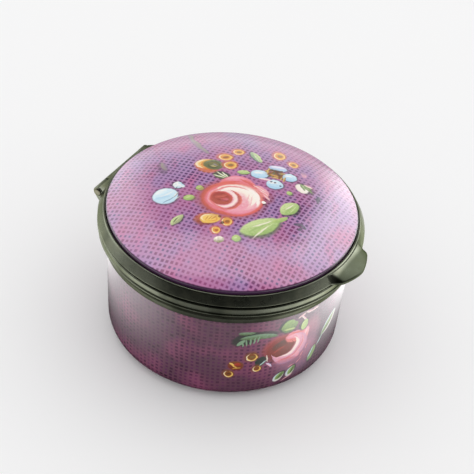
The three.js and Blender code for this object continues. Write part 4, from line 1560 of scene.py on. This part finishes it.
CAMERA_ELEVATION = math.radians(39.9)
CAMERA_ROLL = math.radians(-5.84)
CAMERA_TURN = math.radians(-63.0)
CAMERA_OFFSET = Vector((-3.02, 16.0, 283.2))
FOCAL_PIXELS = 1427.6
PHOTO_PIXELS = 474
SENSOR_WIDTH = 36.0

# Brightness of what the gloss mirrors, where 1 is the white of the floor
TENT_RADIUS = 900
TENT_FRONT = 0.045
TENT_BACK = 0.55
TENT_SIDE = 0.6
TENT_WINDOW = 3.2
TENT_HORIZON = 1.6
TENT_RIGHT = 5.6
TENT_LEFT = 3.4
TABLE_FRONT = 0.6
TABLE_LEFT = 2.9
TABLE_RIGHT = 4.4
TABLE_LIFT = 0.1
TABLE_START = 0.85  # the table's places are shares of the rim's radius
TABLE_FULL = 1.7
TABLE_REACH = 5
FLOOR_HALF = 3000
FLOOR_TONE = 0.93

# Where the tones change: degrees from the camera's side over the top, and the sine of how
# far to the side
FRONT_WINDOW = (86, 95)
FRONT_WINDOW_END = (115, 124)
SIDE_WINDOWS = (96, 118)
HORIZON = (140, 165)
WINDOW_ENDS = (0.5, 0.66)
RIGHT_WINDOW = (0.26, 0.42)
LEFT_WINDOW = (0.28, 0.5)
FAR_SIDE = (0.6, 0.9)
TABLE_SIDES = (0.3, 0.95)

SCREEN_COLUMNS = 72
TENT_ROWS = 37
TABLE_ROWS = 25


def camera_place():
    """Where the camera stands and how it is turned, in metres."""
    right = Vector((1, 0, 0))
    back = Vector((0, -math.cos(CAMERA_ELEVATION), math.sin(CAMERA_ELEVATION)))
    up = back.cross(right)
    image_right = right * math.cos(CAMERA_ROLL) - up * math.sin(CAMERA_ROLL)
    image_up = right * math.sin(CAMERA_ROLL) + up * math.cos(CAMERA_ROLL)
    place = CAMERA_OFFSET.y * image_up - CAMERA_OFFSET.x * image_right + CAMERA_OFFSET.z * back
    turned_axes = Matrix((image_right, image_up, back)).transposed().to_4x4()
    return Matrix.Rotation(CAMERA_TURN, 4, "Z") @ Matrix.Translation(place * MM) @ turned_axes


def floor_paper():
    """Plain matt paper for the stage."""
    tone = FLOOR_TONE
    material, nodes, shader = new_material("pale_floor", (tone, tone, tone, 1.0))
    cloud = nodes.noise(nodes.millimetres(), 0.01, 2.0)["Fac"]
    paper = nodes.mix(cloud, (tone, tone, tone, 1.0), (tone * 0.995, tone * 0.995, tone, 1.0))
    nodes.feed(shader.inputs["Base Color"], paper)
    shader.inputs["Roughness"].default_value = 0.9
    shader.inputs["Specular IOR Level"].default_value = 0.0
    return material


def tent_tone(azimuth, elevation):
    """Brightness of the studio in one direction, from the camera's side over the top."""
    height = math.sin(elevation)
    side = math.sin(azimuth) * math.cos(elevation)
    away = -math.cos(azimuth) * math.cos(elevation)
    over = math.degrees(math.atan2(height, -away))
    tone = TENT_FRONT
    if over > 90:
        tone = TENT_BACK + (TENT_HORIZON - TENT_BACK) * ease(over, *HORIZON)
    tone += (TENT_SIDE - tone) * ease(abs(side), *FAR_SIDE)
    window = ease(over, *FRONT_WINDOW) * (1 - ease(over, *FRONT_WINDOW_END))
    tone += (TENT_WINDOW - tone) * window * (1 - ease(abs(side), *WINDOW_ENDS))
    beyond = ease(over, *SIDE_WINDOWS)
    tone += (TENT_RIGHT - tone) * beyond * ease(side, *RIGHT_WINDOW)
    return tone + (TENT_LEFT - tone) * beyond * ease(-side, *LEFT_WINDOW)


def table_tone(azimuth, radius):
    """Brightness that the enamel's side mirrors from the table, dark near the box."""
    beside = TABLE_RIGHT if math.sin(azimuth) > 0 else TABLE_LEFT
    tone = TABLE_FRONT + (beside - TABLE_FRONT) * ease(abs(math.sin(azimuth)), *TABLE_SIDES)
    return tone * ease(radius, RIM_RADIUS * TABLE_START, RIM_RADIUS * TABLE_FULL)


def mirror_screen(name, rows, place_at, tone_at):
    """Glowing screen that only reflections see, its brightness kept in an attribute."""
    columns = SCREEN_COLUMNS
    points = []
    tones = []
    for row in range(rows):
        for column in range(columns):
            azimuth = math.tau * column / columns
            points.append(place_at(azimuth, row / (rows - 1)))
            tones.append(tone_at(azimuth, row / (rows - 1)))
    faces = []
    for row in range(rows - 1):
        for column in range(columns):
            after = (column + 1) % columns
            faces.append((
                row * columns + column, row * columns + after,
                (row + 1) * columns + after, (row + 1) * columns + column,
            ))
    turn = Matrix.Rotation(CAMERA_TURN, 4, "Z")
    piece = mesh_object(name, [turn @ Vector(point) for point in points], faces)
    glow = piece.data.attributes.new("glow", "FLOAT", "POINT")
    glow.data.foreach_set("value", tones)
    material, nodes, shader = new_material(name + "_glow", (1.0, 1.0, 1.0, 1.0))
    shader.inputs["Base Color"].default_value = (0.0, 0.0, 0.0, 1.0)
    shader.inputs["Specular IOR Level"].default_value = 0.0
    tone = nodes.add("ShaderNodeAttribute", attribute_name="glow")
    nodes.feed(shader.inputs["Emission Color"], nodes.join(*[tone.outputs["Fac"]] * 3))
    shader.inputs["Emission Strength"].default_value = 1.0
    piece.data.materials.append(material)
    piece.visible_camera = False
    piece.visible_diffuse = False
    piece.visible_shadow = False
    piece.visible_transmission = False


def mirror_tent():
    """Dome round the box that gives gloss its soft windows and dark places."""
    def place(azimuth, share):
        elevation = share * math.radians(90)
        level = TENT_RADIUS * math.cos(elevation)
        return (level * math.sin(azimuth), -level * math.cos(azimuth), TENT_RADIUS * math.sin(elevation))
    mirror_screen("mirror_tent", TENT_ROWS, place,
                  lambda azimuth, share: tent_tone(azimuth, share * math.radians(90)))


def mirror_table():
    """Ring just above the floor that stands for the bright table beside the box."""
    def radius_at(share):
        return RIM_RADIUS * (TABLE_START + TABLE_REACH * share ** 2)

    def place(azimuth, share):
        radius = radius_at(share)
        return (radius * math.sin(azimuth), -radius * math.cos(azimuth), TABLE_LIFT)
    mirror_screen("mirror_table", TABLE_ROWS, place,
                  lambda azimuth, share: table_tone(azimuth, radius_at(share)))


class PATCHBOX_OT_stage(Operator):
    """Makes the pale floor, the soft light and the camera"""

    bl_idname = "patch_box.stage"
    bl_label = "Studio"

    def execute(self, context):
        half = FLOOR_HALF
        floor_points = [(-half, -half, 0), (half, -half, 0), (half, half, 0), (-half, half, 0)]
        floor = mesh_object("floor", floor_points, [(0, 1, 2, 3)])
        floor.data.materials.append(floor_paper())

        world = context.scene.world or bpy.data.worlds.new("studio_sky")
        context.scene.world = world
        world.use_nodes = True
        background = world.node_tree.nodes["Background"]
        background.inputs["Color"].default_value = (1.0, 1.0, 1.0, 1.0)
        background.inputs["Strength"].default_value = 1.0
        mirror_tent()
        mirror_table()

        camera = bpy.data.cameras.new("photo_camera")
        camera.lens = FOCAL_PIXELS / PHOTO_PIXELS * SENSOR_WIDTH
        camera.sensor_width = SENSOR_WIDTH
        camera.clip_start = 0.01
        viewer = bpy.data.objects.new("photo_camera", camera)
        viewer.matrix_world = camera_place()
        context.scene.collection.objects.link(viewer)
        context.scene.camera = viewer
        context.scene.view_settings.view_transform = "Standard"
        return {"FINISHED"}


class PATCHBOX_PT_sidebar(Panel):
    """Lists the steps that build the patch box"""

    bl_idname = "PATCHBOX_PT_sidebar"
    bl_label = "Patch Box"
    bl_space_type = "VIEW_3D"
    bl_region_type = "UI"
    bl_category = "Patch Box"

    def draw(self, context):
        for operator in OPERATORS:
            self.layout.operator(operator.bl_idname)
        for group in (context.scene.patch_box_sizes, context.scene.patch_box_colours):
            column = self.layout.column()
            for name in type(group).__annotations__:
                column.prop(group, name)


OPERATORS = (
    PATCHBOX_OT_stage,
    PATCHBOX_OT_body,
    PATCHBOX_OT_lid,
    PATCHBOX_OT_base_mount,
    PATCHBOX_OT_lid_mount,
    PATCHBOX_OT_knuckles,
    PATCHBOX_OT_pin,
)
CLASSES = (PatchBoxSizes, PatchBoxColours, *OPERATORS, PATCHBOX_PT_sidebar)


def register():
    for item in CLASSES:
        bpy.utils.register_class(item)
    bpy.types.Scene.patch_box_sizes = PointerProperty(type=PatchBoxSizes)
    bpy.types.Scene.patch_box_colours = PointerProperty(type=PatchBoxColours)


def unregister():
    del bpy.types.Scene.patch_box_colours
    del bpy.types.Scene.patch_box_sizes
    for item in reversed(CLASSES):
        bpy.utils.unregister_class(item)


def main():
    """Builds the box step by step."""
    register()
    bpy.ops.patch_box.stage()
    bpy.ops.patch_box.body()
    bpy.ops.patch_box.lid()
    bpy.ops.patch_box.base_mount()
    bpy.ops.patch_box.lid_mount()
    bpy.ops.patch_box.knuckles()
    bpy.ops.patch_box.pin()


if __name__ == "__main__":
    main()
